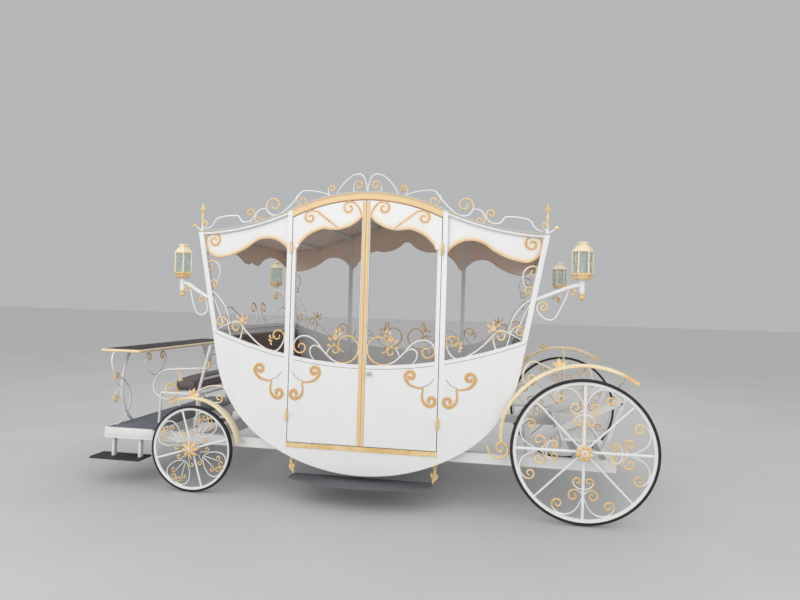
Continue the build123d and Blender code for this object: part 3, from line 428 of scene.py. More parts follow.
    def finish(self, name, material, replaced=(), slot="white_paint", body="carriage", smooth=True):
        """Makes the object, and rides it on its body in place of CAD nodes."""
        mesh = bpy.data.meshes.new(name)
        mesh.from_pydata([row_point(*p) for p in self.points], [], self.faces)
        attribute = mesh.attributes.new("gold", "FLOAT", "POINT")
        attribute.data.foreach_set("value", np.array(self.gold, np.float32))
        for each in material if isinstance(material, (list, tuple)) else [material]:
            mesh.materials.append(each)
        mesh.polygons.foreach_set("material_index", np.array(self.kinds, np.int32))
        made = bmesh.new()
        made.from_mesh(mesh)
        bmesh.ops.recalc_face_normals(made, faces=made.faces)
        made.to_mesh(mesh)
        made.free()
        mesh.polygons.foreach_set("use_smooth", [smooth] * len(mesh.polygons))
        piece = placed(name, mesh)
        if smooth:
            mesh.set_sharp_from_angle(angle=SHARP_ANGLE)
        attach(piece, body)
        if replaced:
            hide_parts(*replaced)


# Materials

class Shader:
    """Node tree of one material; a value may be a number, a colour or another node's socket."""

    def __init__(self, name):
        self.material = bpy.data.materials.new(name)
        self.material.use_nodes = True
        self.tree = self.material.node_tree
        self.tree.nodes.clear()
        self.surface = self.node("BsdfPrincipled")
        self.node("OutputMaterial", Surface=self.surface.outputs[0])
        self.coords = self.node("TexCoord").outputs["Object"]

    def give(self, socket, value):
        """Links or sets one input."""
        if isinstance(value, bpy.types.NodeSocket):
            self.tree.links.new(value, socket)
        elif socket.type == "RGBA":
            socket.default_value = (*value, 1)
        else:
            socket.default_value = value

    def fill(self, node, **values):
        """Links or sets inputs by name, with _ for a space."""
        for name, value in values.items():
            self.give(node.inputs[name.replace("_", " ")], value)
        return node

    def node(self, kind, **values):
        return self.fill(self.tree.nodes.new("ShaderNode" + kind), **values)

    def noise(self, scale, detail=4, rough=0.55, stretch=(1, 1, 1)):
        """Noise over the object, stretched by a scale for each axis."""
        place = self.node("Mapping", Scale=stretch, Vector=self.coords).outputs[0]
        made = self.node("TexNoise", Scale=scale, Detail=detail, Roughness=rough, Vector=place)
        return made.outputs["Fac"]

    def ramp(self, value, *stops):
        """Colour ramp; a stop is (position, colour or grey)."""
        node = self.node("ValToRGB", Fac=value)
        while len(node.color_ramp.elements) < len(stops):
            node.color_ramp.elements.new(0.5)
        for element, (position, colour) in zip(node.color_ramp.elements, stops):
            element.position = position
            element.color = (colour, colour, colour, 1) if isinstance(colour, (int, float)) else (*colour, 1)
        return node.outputs["Color"]

    def spots(self, scale, detail, low, high, most=1.0, least=0.0, rough=0.55, stretch=(1, 1, 1)):
        """Noise whose range from low to high is spread from least to most."""
        return self.ramp(self.noise(scale, detail, rough, stretch), (low, least), (high, most))

    def mix(self, factor, a, b):
        """Mixes two colours."""
        node = self.node("Mix")
        node.data_type = "RGBA"
        for index, value in ((0, factor), (6, a), (7, b)):
            self.give(node.inputs[index], value)
        return node.outputs[2]

    def math(self, kind, a, b=0.5, clamp=False):
        node = self.node("Math")
        node.operation = kind
        node.use_clamp = clamp
        self.give(node.inputs[0], a)
        self.give(node.inputs[1], b)
        return node.outputs[0]

    def gold(self):
        """Share of gold that the mesh gives."""
        node = self.node("Attribute")
        node.attribute_name = "gold"
        return node.outputs["Fac"]

    def part(self, vector, axis):
        """One component of a vector."""
        return self.node("SeparateXYZ", Vector=vector).outputs[axis]

    def finished(self, colour, rough, dents=None, strength=0.1, depth=0.002, wear=None, dull_at=0.8):
        """Gives colour, a roughness that wanders between two values, and dents; returns the material."""
        if wear is None:
            wear = self.noise(30)
        self.fill(self.surface, Base_Color=colour,
                  Roughness=self.ramp(wear, (0.3, rough[0]), (dull_at, rough[1])))
        if dents is not None:
            bump = self.node("Bump", Strength=strength, Distance=depth, Height=dents)
            self.fill(self.surface, Normal=bump.outputs["Normal"])
        return self.material


WHITE, SOILED = (0.715, 0.72, 0.72), (0.50, 0.49, 0.46)
GOLD, DEEP_GOLD, PALE_GOLD = (0.69, 0.43, 0.16), (0.42, 0.23, 0.07), (0.83, 0.65, 0.38)


def darker(colour, share):
    return tuple(share * c for c in colour)


def enamel(name, base=WHITE, soiled=SOILED, amount=0.35, rough=0.32):
    """Brushed enamel with faint mottling and runs of dirt."""
    s = Shader(name)
    patches = s.spots(2.3, 5, 0.35, 0.75)
    runs = s.spots(9, 6, 0.5, 0.82, rough=0.6, stretch=(1, 1, 0.12))
    soil = s.math("MULTIPLY", s.math("MULTIPLY", patches, runs), amount)
    tint = s.mix(s.spots(14, 3, 0.4, 0.7, 0.16), base, darker(base, 0.93))
    return s.finished(s.mix(soil, tint, soiled), (rough - 0.06, rough + 0.14), s.noise(55, 3), 0.12)


def roof_enamel_shade_tinted_under(name):
    """Enamel that is grey on top and, on the underside, pale with a warm tint that is painted shade, with
    mottling.
    """
    s = Shader(name)
    above = s.ramp(s.part(s.node("NewGeometry").outputs["True Normal"], 2), (0.0, 0.0), (0.2, 1.0))
    cloud = s.spots(2.6, 6, 0.35, 0.8, 0.4, rough=0.6)
    # Underside colour: its pale enamel with a warm painted shade tint
    under = s.mix(cloud, (0.82, 0.66, 0.55), (0.60, 0.47, 0.39))
    top = s.mix(cloud, (0.66, 0.655, 0.65), (0.46, 0.44, 0.41))
    return s.finished(s.mix(above, under, top), (0.45, 0.65), s.noise(55, 3), 0.12)


def gold_paint(s):
    """Colour of airbrushed gold enamel."""
    warm = s.mix(s.spots(7, 5, 0.32, 0.72), PALE_GOLD, GOLD)
    return s.mix(s.spots(42, 5, 0.52, 0.75, 0.7, rough=0.65), warm, DEEP_GOLD)


def gold_enamel(name):
    s = Shader(name)
    s.fill(s.surface, Metallic=0.15)
    return s.finished(gold_paint(s), (0.3, 0.5), s.noise(70), 0.2, wear=s.noise(25))


def two_tone(name, base=WHITE):
    """White enamel that fades to gold where the mesh says so."""
    s = Shader(name)
    drift = s.math("MULTIPLY", s.math("SUBTRACT", s.noise(35), 0.5), 0.55)
    share = s.ramp(s.math("ADD", s.gold(), drift), (0.28, 0.0), (0.62, 1.0))
    tint = s.mix(s.spots(18, 4, 0.45, 0.75, 0.25), base, darker(base, 0.9))
    return s.finished(s.mix(share, tint, gold_paint(s)), (0.3, 0.46), s.noise(60, 3), 0.15)


def airbrushed(name, base=WHITE):
    """Sheet painted white with soft gold edges where the mesh says so."""
    s = Shader(name)
    share = s.math("MULTIPLY", s.gold(), s.spots(16, 4, 0.2, 0.8, 1.0, 0.75), clamp=True)
    tint = s.mix(s.spots(6, 4, 0.4, 0.75, 0.15), base, darker(base, 0.92))
    light = s.mix(s.noise(11, 3), PALE_GOLD, GOLD)
    warm = s.mix(s.ramp(share, (0.55, 0.0), (0.95, 1.0)), light, (0.58, 0.32, 0.11))
    return s.finished(s.mix(share, tint, warm), (0.28, 0.42), s.noise(50, 3))


def rubber(name, base=(0.012, 0.012, 0.014)):
    s = Shader(name)
    dusty = s.mix(s.spots(24, 6, 0.5, 0.8, 0.35, rough=0.7), base, (0.12, 0.115, 0.105))
    return s.finished(dusty, (0.55, 0.8), s.noise(180), 0.35, 0.001, s.noise(60), 0.7)


def leather(name, base=(0.050, 0.020, 0.012), light=(0.10, 0.045, 0.03)):
    s = Shader(name)
    grain = s.node("TexVoronoi", Scale=260, Vector=s.coords).outputs["Distance"]
    return s.finished(s.mix(s.spots(9, 5, 0.35, 0.75), base, light), (0.38, 0.6),
                      s.math("ADD", grain, s.noise(20)), 0.3, 0.0015, s.noise(40))


def boards(name, base, dark, width=0.12):
    """Weathered boards across the carriage with open grain."""
    s = Shader(name)
    grain = s.noise(26, 6, 0.65, (1, 0.08, 1))
    seam = s.math("PINGPONG", s.part(s.coords, 0), width / 2)
    gap = s.ramp(s.math("MULTIPLY", seam, 2 / width), (0.0, 1.0), (0.05, 0.0))
    plank = s.mix(s.ramp(grain, (0.35, 0.0), (0.75, 1.0)), base, dark)
    return s.finished(s.mix(gap, plank, darker(dark, 0.25)), (0.6, 0.85),
                      s.math("SUBTRACT", grain, gap), 0.4, wear=grain)


def lantern_glass(name):
    s = Shader(name)
    s.fill(s.surface, Transmission_Weight=0.85, IOR=1.45, Alpha=0.55)
    tint = s.mix(s.spots(14, 4, 0.4, 0.7), (0.80, 0.90, 0.88), (0.66, 0.80, 0.79))
    return s.finished(tint, (0.04, 0.16), s.noise(12, 2))


def brushed_gold(name):
    """Gold mist whose cover the mesh gives."""
    s = Shader(name)
    cover = s.math("MULTIPLY", s.gold(), s.spots(20, 4, 0.2, 0.8, 1.0, 0.8))
    s.fill(s.surface, Alpha=s.ramp(cover, (0.02, 0.0), (0.8, 0.97)))
    return s.finished(s.mix(s.ramp(cover, (0.35, 0.0), (0.98, 1.0)), (0.86, 0.62, 0.34), (0.52, 0.26, 0.07)),
                      (0.28, 0.42))


M_WHITE = enamel("white_enamel")
# Inner faces: the white enamel given a warm tint that is painted shade, with heavier runs of dirt
M_INNER_SHADE_TINT = enamel("inner_enamel_painted_shade", (0.86, 0.69, 0.58), (0.62, 0.48, 0.39), 0.6, 0.5)
M_ROOF = roof_enamel_shade_tinted_under("roof_enamel_shade_tinted_under")
M_BEAD = enamel("bead_enamel", (0.45, 0.46, 0.42), (0.28, 0.28, 0.25), 0.6, 0.4)
# Dark grey for the painted shadow lines at the seams, and for the thin grey stems of the panel scrolls
M_SEAM_SHADOW_AND_STEM = enamel("seam_shadow_and_stem_grey", (0.22, 0.21, 0.20), (0.12, 0.11, 0.10), 0.6, 0.6)
M_GOLD = gold_enamel("gold_enamel")
M_TWO = two_tone("white_to_gold")
M_CREAM_TWO = two_tone("cream_to_gold", (0.78, 0.69, 0.50))
M_SHEET = airbrushed("airbrushed_sheet")
M_ARCH = airbrushed("moulding_gold", (0.70, 0.52, 0.30))
M_BRUSHED = brushed_gold("airbrushed_gold")
M_TYRE = rubber("tyre_rubber")
M_BLACK = rubber("step_rubber", (0.03, 0.03, 0.033))
# Side step: dark grey rubber made lighter all over, a painted highlight on its top
M_STEP_SHEEN = rubber("step_rubber_painted_sheen", (0.12, 0.125, 0.14))
M_LEATHER = leather("bench_leather")
M_PAD = leather("driver_pad", (0.11, 0.085, 0.085), (0.17, 0.14, 0.14))
M_DECK = boards("deck_boards", (0.17, 0.19, 0.22), (0.11, 0.12, 0.14))
M_GLASS = lantern_glass("lantern_glass")
M_BULB = enamel("candle_white", (0.80, 0.79, 0.74), rough=0.3)
# Materials of a painted sheet, outside and inside; the inside one is white enamel with a painted warm shade
# tint
PAINTED = [M_SHEET, M_INNER_SHADE_TINT]

SLOT_MATERIALS = {
    "white_paint": M_WHITE, "gold_paint": M_GOLD, "roof_paint": M_ROOF, "tyre": M_TYRE,
    "dark_leather": M_LEATHER, "grey_wood": M_DECK, "black_rubber": M_BLACK, "lantern_glass": M_GLASS,
    "bulb_white": M_BULB,
}
for part in frame["record"]["subparts"]:
    mesh = NODES[part["node"]].data
    mesh.materials.clear()
    # The side step gets the rubber with the painted highlight
    mesh.materials.append(M_STEP_SHEEN if part["node"] == "side_step" else SLOT_MATERIALS[part["material_slot"]])


# Lines of the cabin

def roof_z(x, drop=0):
    """Height of the roof's top, or of a line that runs at drop below it."""
    x = abs(x)
    if x <= CREST_RUN:
        return ROOF_TOP_Z - CREST_RADIUS + sqrt((CREST_RADIUS - drop) ** 2 - x * x)
    return FLARE_Z - sqrt((FLARE_RADIUS + drop) ** 2 - (x - FLARE_X) ** 2)


def roof_line(stations, drop):
    return [(x, roof_z(x, drop)) for x in stations]


def belt_z(x):
    """Height of the belt line over the side panels."""
    rise = BELT_END_Z - BELT_LOW_Z
    radius = (BELT_END_X ** 2 + rise ** 2) / (2 * rise)
    return BELT_LOW_Z + radius - sqrt(radius ** 2 - x * x)


def left_side(y):
    """Places the (x, z) of a table at one y."""
    return lambda a, b: (a, y, b)


# Wheels

def flower_hub(work, place, radius, sign, centre, petals, reach):
    """Turned hub with a cap and a ring of beaten gold petals, which reach out to a share of the radius."""
    hub = [(0.068, -0.1), (0.07, -0.05), (0.1, -0.03), (0.105, 0.03), (0.09, 0.06), (0.085, 0.09),
           (0.07, 0.105)]
    profile = [(a * radius, max(-38, min(40, b * radius))) for a, b in hub]
    cap_low = profile[-1][1]
    profile += [(a * radius, b) for a, b in ((0.052, cap_low + 4), (0.05, 52), (0.042, 59), (0.026, 60),
                                             (0.022, 55), (0.002, 55))]
    golds = [0, 0, 0, 0.1, 0.2, 0.3, 0.3, 0.1, 0.0, 0.0, 0.2, 1, 1]
    work.lathe(profile, centre, (0, sign, 0), golds, 40)
    for k in range(petals):
        angle = 2 * pi * (k + 0.5 * (k % 2)) / petals
        far = reach * (1.0 if k % 2 else 0.82)
        line = [place(r * radius * cos(angle), r * radius * sin(angle),
                      44 - 150 * (r - 0.05) + 16 * sin(9 * r)) for r in np.linspace(0.045, far, 8)]
        size = 0.021 * radius * np.array([0.6, 0.8, 1.0, 1.15, 1.2, 1.05, 0.75, 0.3])
        work.tube(line, size, 0.95, depth=0.35, sides=8)


def wheel(name, data, side, body):
    """Rubber tyre, and wire wheel with scrolls, petals and cap."""
    radius, turned, outer = data["radius"], data["turned"], data["tread"]
    sign = 1 if side == "left" else -1
    centre = (data["x"], sign * data["y"], radius)

    def place(a, b, out=0.0):
        """From wheel axes (forward, up, outwards) to the cabin's."""
        return (centre[0] + sign * a, centre[1] + sign * out, centre[2] + b)

    rim_out = radius - data["tyre"]
    tyre = Work()
    tread = [(rim_out + 1, -17), (outer - 9, -18), (outer - 3, -15), (outer, -8), (outer, 8), (outer - 3, 15),
             (outer - 9, 18), (rim_out + 1, 17)]
    tyre.lathe(tread, centre, ACROSS, sides=WHEEL_SIDES, closed=True)
    tyre.finish(f"{name}_rubber", M_TYRE, [name.replace("wheel", "tyre")], slot="tyre", body=body)
    iron = Work()
    rim_in = rim_out - data["rim"]
    rim = [(rim_out, -15), (rim_out, 15), (rim_out - 4, 15), (rim_out - 7, 11), (rim_in + 3, 10), (rim_in, 6),
           (rim_in, -6), (rim_in + 3, -10), (rim_out - 7, -11), (rim_out - 4, -15)]
    iron.lathe(rim, centre, ACROSS, sides=WHEEL_SIDES, closed=True)
    front = data is FRONT_WHEEL
    for k in range(0, 8, 2 if front else 1):
        angle = radians(turned + 45 * k)
        line = [place(r * cos(angle), r * sin(angle)) for r in np.linspace(0.05 * radius, rim_in + 4, 24)]
        iron.tube(line, data["thin"] if k % 2 else data["main"], depth=0.6)
    rows = [(x * radius, z * radius, heading, [(a * radius, b * radius) for a, b in points],
             first, (last[0] * radius, *last[1:]))
            for x, z, heading, points, first, last in (FRONT_SPOKE_SCROLLS if front else REAR_SPOKE_SCROLLS)]
    for k in range(4):
        angle = radians(turned + (45 if front else 0) + 90 * k)
        for flip in (1, -1):
            def on_wheel(a, b):
                b *= flip
                return place(a * cos(angle) - b * sin(angle), a * sin(angle) + b * cos(angle))

            iron.scrolls(rows, on_wheel, 0.0105 * radius + 1.2, fade=0.3 * radius)
    flower_hub(iron, place, radius, sign, centre, 16 if front else 14, 0.24 if front else 0.12)
    iron.finish(f"{name}_iron", M_TWO, [name], body=body)


for end, data in (("front", FRONT_WHEEL), ("rear", REAR_WHEEL)):
    for side in ("left", "right"):
        wheel(f"{end}_wheel_{side}", data, side, f"wheel_{end}_{side}")


# Scrollwork in the window openings and on the roof

def on_end(a, b):
    """A point on the leaning front end, from (y, height along the post)."""
    return (BELT_END_X - 6 + b * LEAN_SIN, a, BELT_END_Z + b * LEAN_COS)


window, middle, ends, crest = Work(), Work(), Work(), Work()
window.scrolls(BELT_SCROLLS, left_side(SIDE_Y - 18))
window.blooms(WINDOW_BLOOMS, left_side(SIDE_Y - 12), ACROSS)
window.mirrored(0).mirrored(1)
middle.scrolls(DOOR_SCROLLS, left_side(18 - SIDE_Y))
middle.blooms(DOOR_BLOOMS, left_side(14 - SIDE_Y), (0, -1, 0))
window.absorb(middle.mirrored(0))
ends.scrolls(END_SCROLLS, on_end, normal=LEAN_OUT)
window.absorb(ends.mirrored(0).mirrored(1))
window.finish("window_scroll_bars", M_TWO, ["window_scrolls"])
for end, mirror in ENDS:
    bars = Work()
    bars.scrolls(DOOR_SCROLLS, lambda a, b: (mirror * a, SIDE_Y - 8, b))
    bars.blooms(DOOR_BLOOMS, left_side(SIDE_Y - 3), ACROSS, mirror)
    bars.finish(f"door_{end}_scroll_bars", M_TWO, [f"door_{end}_scroll"], body=f"door_{end}")
crest.scrolls(CREST_SCROLLS, left_side(SIDE_Y - 14))
crest.mirrored(0).mirrored(1).finish("cresting_bars", M_TWO, ["roof_cresting"])


# Valances

def near(points, line):
    """Distance of each point to a polyline."""
    points, line = np.asarray(points, float), np.asarray(line, float)
    best = np.full(len(points), 1e9)
    for a, b in zip(line[:-1], line[1:]):
        run = b - a
        share = np.clip((points - a) @ run / max(run @ run, 1e-9), 0, 1)
        best = np.minimum(best, np.linalg.norm(points - a - share[:, None] * run, axis=1))
    return best


def three_point(a, b, c, count=40):
    """Points of the arc through three points."""
    (ax, ay), (bx, by), (cx, cy) = a, b, c
    d = 2 * (ax * (by - cy) + bx * (cy - ay) + cx * (ay - by))
    far_a, far_b, far_c = ax * ax + ay * ay, bx * bx + by * by, cx * cx + cy * cy
    ux = (far_a * (by - cy) + far_b * (cy - ay) + far_c * (ay - by)) / d
    uy = (far_a * (cx - bx) + far_b * (ax - cx) + far_c * (bx - ax)) / d
    radius = hypot(ax - ux, ay - uy)
    first, mid, last = [atan2(y - uy, x - ux) for x, y in (a, b, c)]
    turn = (last - first) % (2 * pi)
    if (mid - first) % (2 * pi) > turn:
        turn -= 2 * pi
    return [(ux + radius * cos(first + turn * k / count), uy + radius * sin(first + turn * k / count))
            for k in range(count + 1)]


def sheet(work, top, bottom, place, thick, spirals, glow=26, both=False, rows=44):
    """Painted sheet between two lines of equal length, with gold along the bottom and round the spirals."""
    top, bottom = np.array(top), np.array(bottom)
    grid = np.array([top + (bottom - top) * k / rows for k in range(rows + 1)])
    flat = grid.reshape(-1, 2)
    gold = 0.95 * np.exp(-(near(flat, bottom) / glow) ** 2)
    if both:
        gold = np.maximum(gold, 0.95 * np.exp(-(near(flat, top) / glow) ** 2))
    for line in spirals:
        gold = np.maximum(gold, 0.6 * np.exp(-(near(flat, line) / (0.8 * glow)) ** 2))
    columns = len(top)
    count = len(flat)
    points = [place(a, b, 0) for a, b in flat] + [place(a, b, -thick) for a, b in flat]
    faces, kinds = [], []
    for r in range(rows):
        for c in range(columns - 1):
            a = r * columns + c
            faces.append((a, a + 1, a + columns + 1, a + columns))
            faces.append((count + a, count + a + columns, count + a + columns + 1, count + a + 1))
            kinds += [0, 1]
    for c in range(columns - 1):
        for a in (c, rows * columns + c):
            faces.append((a, a + 1, count + a + 1, count + a))
    for r in range(rows):
        for a in (r * columns, r * columns + columns - 1):
            faces.append((a, a + columns, count + a + columns, count + a))
    kinds += [0] * (len(faces) - len(kinds))
    work.add(points, faces, np.concatenate([gold, 0.0 * gold]), kinds)


def resample(line, count):
    """Points at even steps along a line."""
    line = np.asarray(line, float)
    along = lengths(line)
    wanted = np.linspace(0, along[-1], count)
    return np.column_stack([np.interp(wanted, along, line[:, 0]), np.interp(wanted, along, line[:, 1])])


def scallop(*drops):
    """Arcs between points given as (x, drop below the roof's top), each arc through its middle one."""
    points = [(x, ROOF_TOP_Z - drop) for x, drop in drops]
    line = []
    for k in range(0, len(points) - 2, 2):
        line = line[:-1] + three_point(*points[k:k + 3])
    return line


QUARTER_EDGE = scallop((1375, 425), (1335, 510), (1220, 540), (1092, 503), (975, 436), (810, 380), (652, 475))
DOOR_EDGE = scallop((576, 475), (490, 365), (340, 298), (140, 280), (33, 200))


def spiral_lines(rows):
    return [stroke(row)[0] for row in rows]


def quarter_valance(side):
    """Front quarter valance on one side."""
    work = Work()
    edge = resample(QUARTER_EDGE, 150)
    tops = roof_line(np.linspace(edge[0][0] + 8, JAMB_OUT_X, 150), ROOF_SHEET)
    face_y = side * (SIDE_Y - VALANCE_INSET)
    sheet(work, tops, edge, lambda a, b, out: (a, face_y + side * out, b), VALANCE_THICK,
          spiral_lines(QUARTER_SPIRAL))
    work.tube([(a, face_y - side * 4, b) for a, b in edge], 6, 0.9, depth=1.2, sides=8)
    work.scrolls(QUARTER_SPIRAL, left_side(face_y), 9, depth=0.45, more_gold=1)
    return work


def door_valance(work, mirror, face_y, outer_drop, side=1, outline=DOOR_EDGE):
    """Valance in the top of a door leaf, or over the same place on the right."""
    edge = resample(outline, 110)
    tops = roof_line(np.linspace(edge[0][0], edge[-1][0], 110), outer_drop)
    sheet(work, tops, edge, lambda a, b, out: (mirror * a, face_y + side * out, b), VALANCE_THICK,
          spiral_lines(DOOR_SPIRALS))
    work.tube([(mirror * a, face_y - side * 4, b) for a, b in edge], 6, 0.9, depth=1.2, sides=8)
    work.scrolls(DOOR_SPIRALS, lambda a, b: (mirror * a, face_y, b), 8, depth=0.45, more_gold=1)


quarter_valance(1).mirrored(0).finish("quarter_valance_sheets_left", PAINTED, ["quarter_valances_left"])
for end, mirror in ENDS:
    work = Work()
    door_valance(work, mirror, SIDE_Y + 1, ROOF_SHEET + ARCH_BAND + 9)
    work.finish(f"door_{end}_valance_sheet", PAINTED, [f"door_{end}_valance"], body=f"door_{end}")
right = quarter_valance(-1)
past_ends = [(JAMB_X, ROOF_TOP_Z - 505), *DOOR_EDGE, (0, ROOF_TOP_Z - 196)]
door_valance(right, 1, VALANCE_INSET - SIDE_Y, ROOF_SHEET, -1, past_ends)
right.mirrored(0).finish("side_valance_sheets_right", PAINTED, ["side_valance_right"])


def end_valance():
    """Scalloped sheet across each leaning end, between the corner posts."""
    work = Work()
    half, run = SIDE_Y - TUBE, (ROOF_END_Z - BELT_END_Z) / LEAN_COS
    low, arch = run - 195, run - 105
    outer = three_point((half, low), (half / 2 + 40, arch), (190, low - 8))[:-1]
    inner = three_point((190, low - 8), (95, low - 22), (0, low + 8))
    across = outer + inner
    edge = resample(across + [(-y, z) for y, z in across[-2::-1]], 121)
    tops = [(y, run + 8) for y in np.linspace(half, -half, 121)]

    def place(a, b, out):
        return (BELT_END_X - 1 + b * LEAN_SIN + out * LEAN_COS, a, BELT_END_Z + b * LEAN_COS - out * LEAN_SIN)

    sheet(work, tops, edge, place, 11, [], rows=12)
    work.tube([place(a, b, -5) for a, b in edge], 6, 0.9, LEAN_OUT, sides=8)
    return work.mirrored(0)


end_valance().finish("end_valance_sheets", PAINTED, ["end_valances"])


# Roof edge, arch over the doors and centre strips

def roof_edge():
    """Edge bar under the roof on both sides, but not over the doors."""
    work = Work()
    section = ((3, 14), (3, 30), (6, 34), (24, 34), (24, 13))
    for side, low in ((1, JAMB_OUT_X), (-1, 0)):
        work.loft([[(x, side * (SIDE_Y - inset), roof_z(x, drop)) for inset, drop in section]
                   for x in np.linspace(low, ROOF_END_X - 14, 60)])
    return work.mirrored(0)


roof_edge().finish("roof_edge_bars", M_WHITE)
bead = Work()
for side in (1, -1):
    line = roof_line(np.linspace(-ROOF_END_X + 4, ROOF_END_X - 4, 120), 6)
    bead.tube([(x, side * (SIDE_Y - 3), z) for x, z in line], 6.5, depth=0.8, sides=8)
bead.finish("roof_edge_bead", M_BEAD, slot="roof_paint")
arch = Work()
stations = np.linspace(-JAMB_X + 1, JAMB_X - 1, 130)
sheet(arch, roof_line(stations, ROOF_SHEET + 1), roof_line(stations, ROOF_SHEET + ARCH_BAND),
      lambda a, b, out: (a, SIDE_Y + out, b), 22, [], glow=15, both=True, rows=12)
for drop in (ROOF_SHEET + 5, ROOF_SHEET + ARCH_BAND - 5):
    arch.tube([(x, SIDE_Y - 1, z) for x, z in roof_line(stations, drop)], 5, 0.8, depth=0.9, sides=8)
arch.finish("door_arch_moulding", [M_ARCH, M_INNER_SHADE_TINT], ["door_arch"], slot="gold_paint")
for end, mirror in ENDS:
    strip = Work()
    section = [(1, 1030), (1, 1033), (3, 1034), (7, 1034.5), (11, 1035.5), (15, 1035.8), (19, 1035.5),
               (22, 1034.5), (25.5, 1034), (27, 1033), (27, 1030)]
    tones = [0.2, 0.2, 0.1, 0.05, 0.1, 0.3, 0.5, 0.7, 0.85, 0.95, 0.95]
    heights = np.linspace(DOOR_SILL_Z + 6, ROOF_TOP_Z - 80, 60)
    strip.loft([[(mirror * a, b, z) for a, b in section] for z in heights])
    strip.gold = [tone for _ in heights for tone in tones]
    strip.finish(f"door_{end}_strip_moulding", M_ARCH, [f"door_{end}_strip"],
                 slot="gold_paint", body=f"door_{end}")


# Seams of the side panels, drawn as painted shadow lines

def seam(work, low, high, y):
    """Thin dark line along the belt line, a painted shadow of the panels' joint."""
    work.tube([(x, y, belt_z(x) - 1) for x in np.linspace(low, high, 40)], 1.6, sides=6)


seams = Work()
seam(seams, JAMB_OUT_X + 1, BELT_END_X - 8, SIDE_Y)
seam(seams, JAMB_OUT_X + 1, BELT_END_X - 8, -SIDE_Y)
seam(seams, 0, JAMB_OUT_X + 1, -SIDE_Y)
seams.mirrored(0).finish("belt_seam_shadow_lines", M_SEAM_SHADOW_AND_STEM)
# Painted shadow line along the seam of each door leaf
for end, mirror in ENDS:
    seams = Work()
    seam(seams, 34, DOOR_HALF - 31, SIDE_Y)
    seams.points = [(mirror * x, y, z) for x, y, z in seams.points]
    seams.finish(f"door_{end}_seam", M_SEAM_SHADOW_AND_STEM, body=f"door_{end}")


# Airbrushed scrolls on the panels

def brushed(work, row, place, wide=25):
    """Soft stroke just proud of the panel; it grows thin at its open end."""
    line, _ = stroke(row)
    count = len(line)
    along = np.arange(count) / (count - 1)
    half = wide * np.clip(0.45 + 2.2 * along, 0.45, 1) * np.clip(3.2 * (1 - along) + 0.62, 0.62, 1)
    ahead = np.gradient(line, axis=0)
    ahead /= np.linalg.norm(ahead, axis=1)[:, None]
    shares = np.linspace(-1, 1, 9)
    points, golds, faces = [], [], []
    for (x, z), (u, v), size in zip(line, ahead, half):
        for share in shares:
            points.append(place(x - v * size * share, z + u * size * share, 0.5 + 1.2 * (1 - share * share)))
            golds.append(cos(pi / 2 * share) ** 2)
    for i in range(count - 1):
        for k in range(len(shares) - 1):
            a = i * len(shares) + k
            faces.append((a, a + 1, a + len(shares) + 1, a + len(shares)))
    work.add(points, faces, golds)


def panel_scrolls(mist, stems, across, side=1):
    """The group of strokes on one side of a jamb; across turns a distance from the jamb into x."""
    for row in PANEL_SCROLLS:
        brushed(mist, row, lambda u, z, out: (across(u), side * (SIDE_Y + out), z))
    stems.scrolls([PANEL_STEM], lambda u, z: (across(u), side * (SIDE_Y + 0.5), z), 2.6, depth=0.8)


mist, stems = Work(), Work()
for side in (1, -1):
    for mirror in (1, -1):
        panel_scrolls(mist, stems, lambda u: mirror * (PANEL_AXIS + u), side)
        if side < 0:
            panel_scrolls(mist, stems, lambda u: mirror * (PANEL_AXIS - u), side)
mist.finish("panel_airbrushing", M_BRUSHED, slot="gold_paint")
stems.finish("panel_stems", M_SEAM_SHADOW_AND_STEM)
for end, mirror in ENDS:
    mist, stems = Work(), Work()
    panel_scrolls(mist, stems, lambda u: mirror * (PANEL_AXIS - u))
    mist.finish(f"door_{end}_airbrushing", M_BRUSHED, slot="gold_paint", body=f"door_{end}")
    stems.finish(f"door_{end}_stems", M_SEAM_SHADOW_AND_STEM, body=f"door_{end}")


# Door fittings

knob = Work()
knob.lathe([(13, 0), (13, 3), (6, 5), (6, 22), (12, 25), (17, 30), (17, 35), (12, 39), (0.1, 40)],
           (-60, SIDE_Y, 1045), ACROSS, 0.0, 24)
knob.finish("door_rear_knob", M_BEAD, ["door_rear_handle"], slot="gold_paint", body="door_rear")
barrels = Work()
for z in HINGE_HEIGHTS:
    barrel = [(1, -46), (6, -44), (10.5, -38), (10.5, -1), (9, 0), (10.5, 1), (10.5, 38), (6, 44), (1, 46)]
    barrels.lathe(barrel, (JAMB_X, SIDE_Y + 10, z), UP, 0.8, 16)
barrels.mirrored(0).finish("hinge_barrels", M_TWO, ["door_hinges"], slot="gold_paint")


# Lanterns

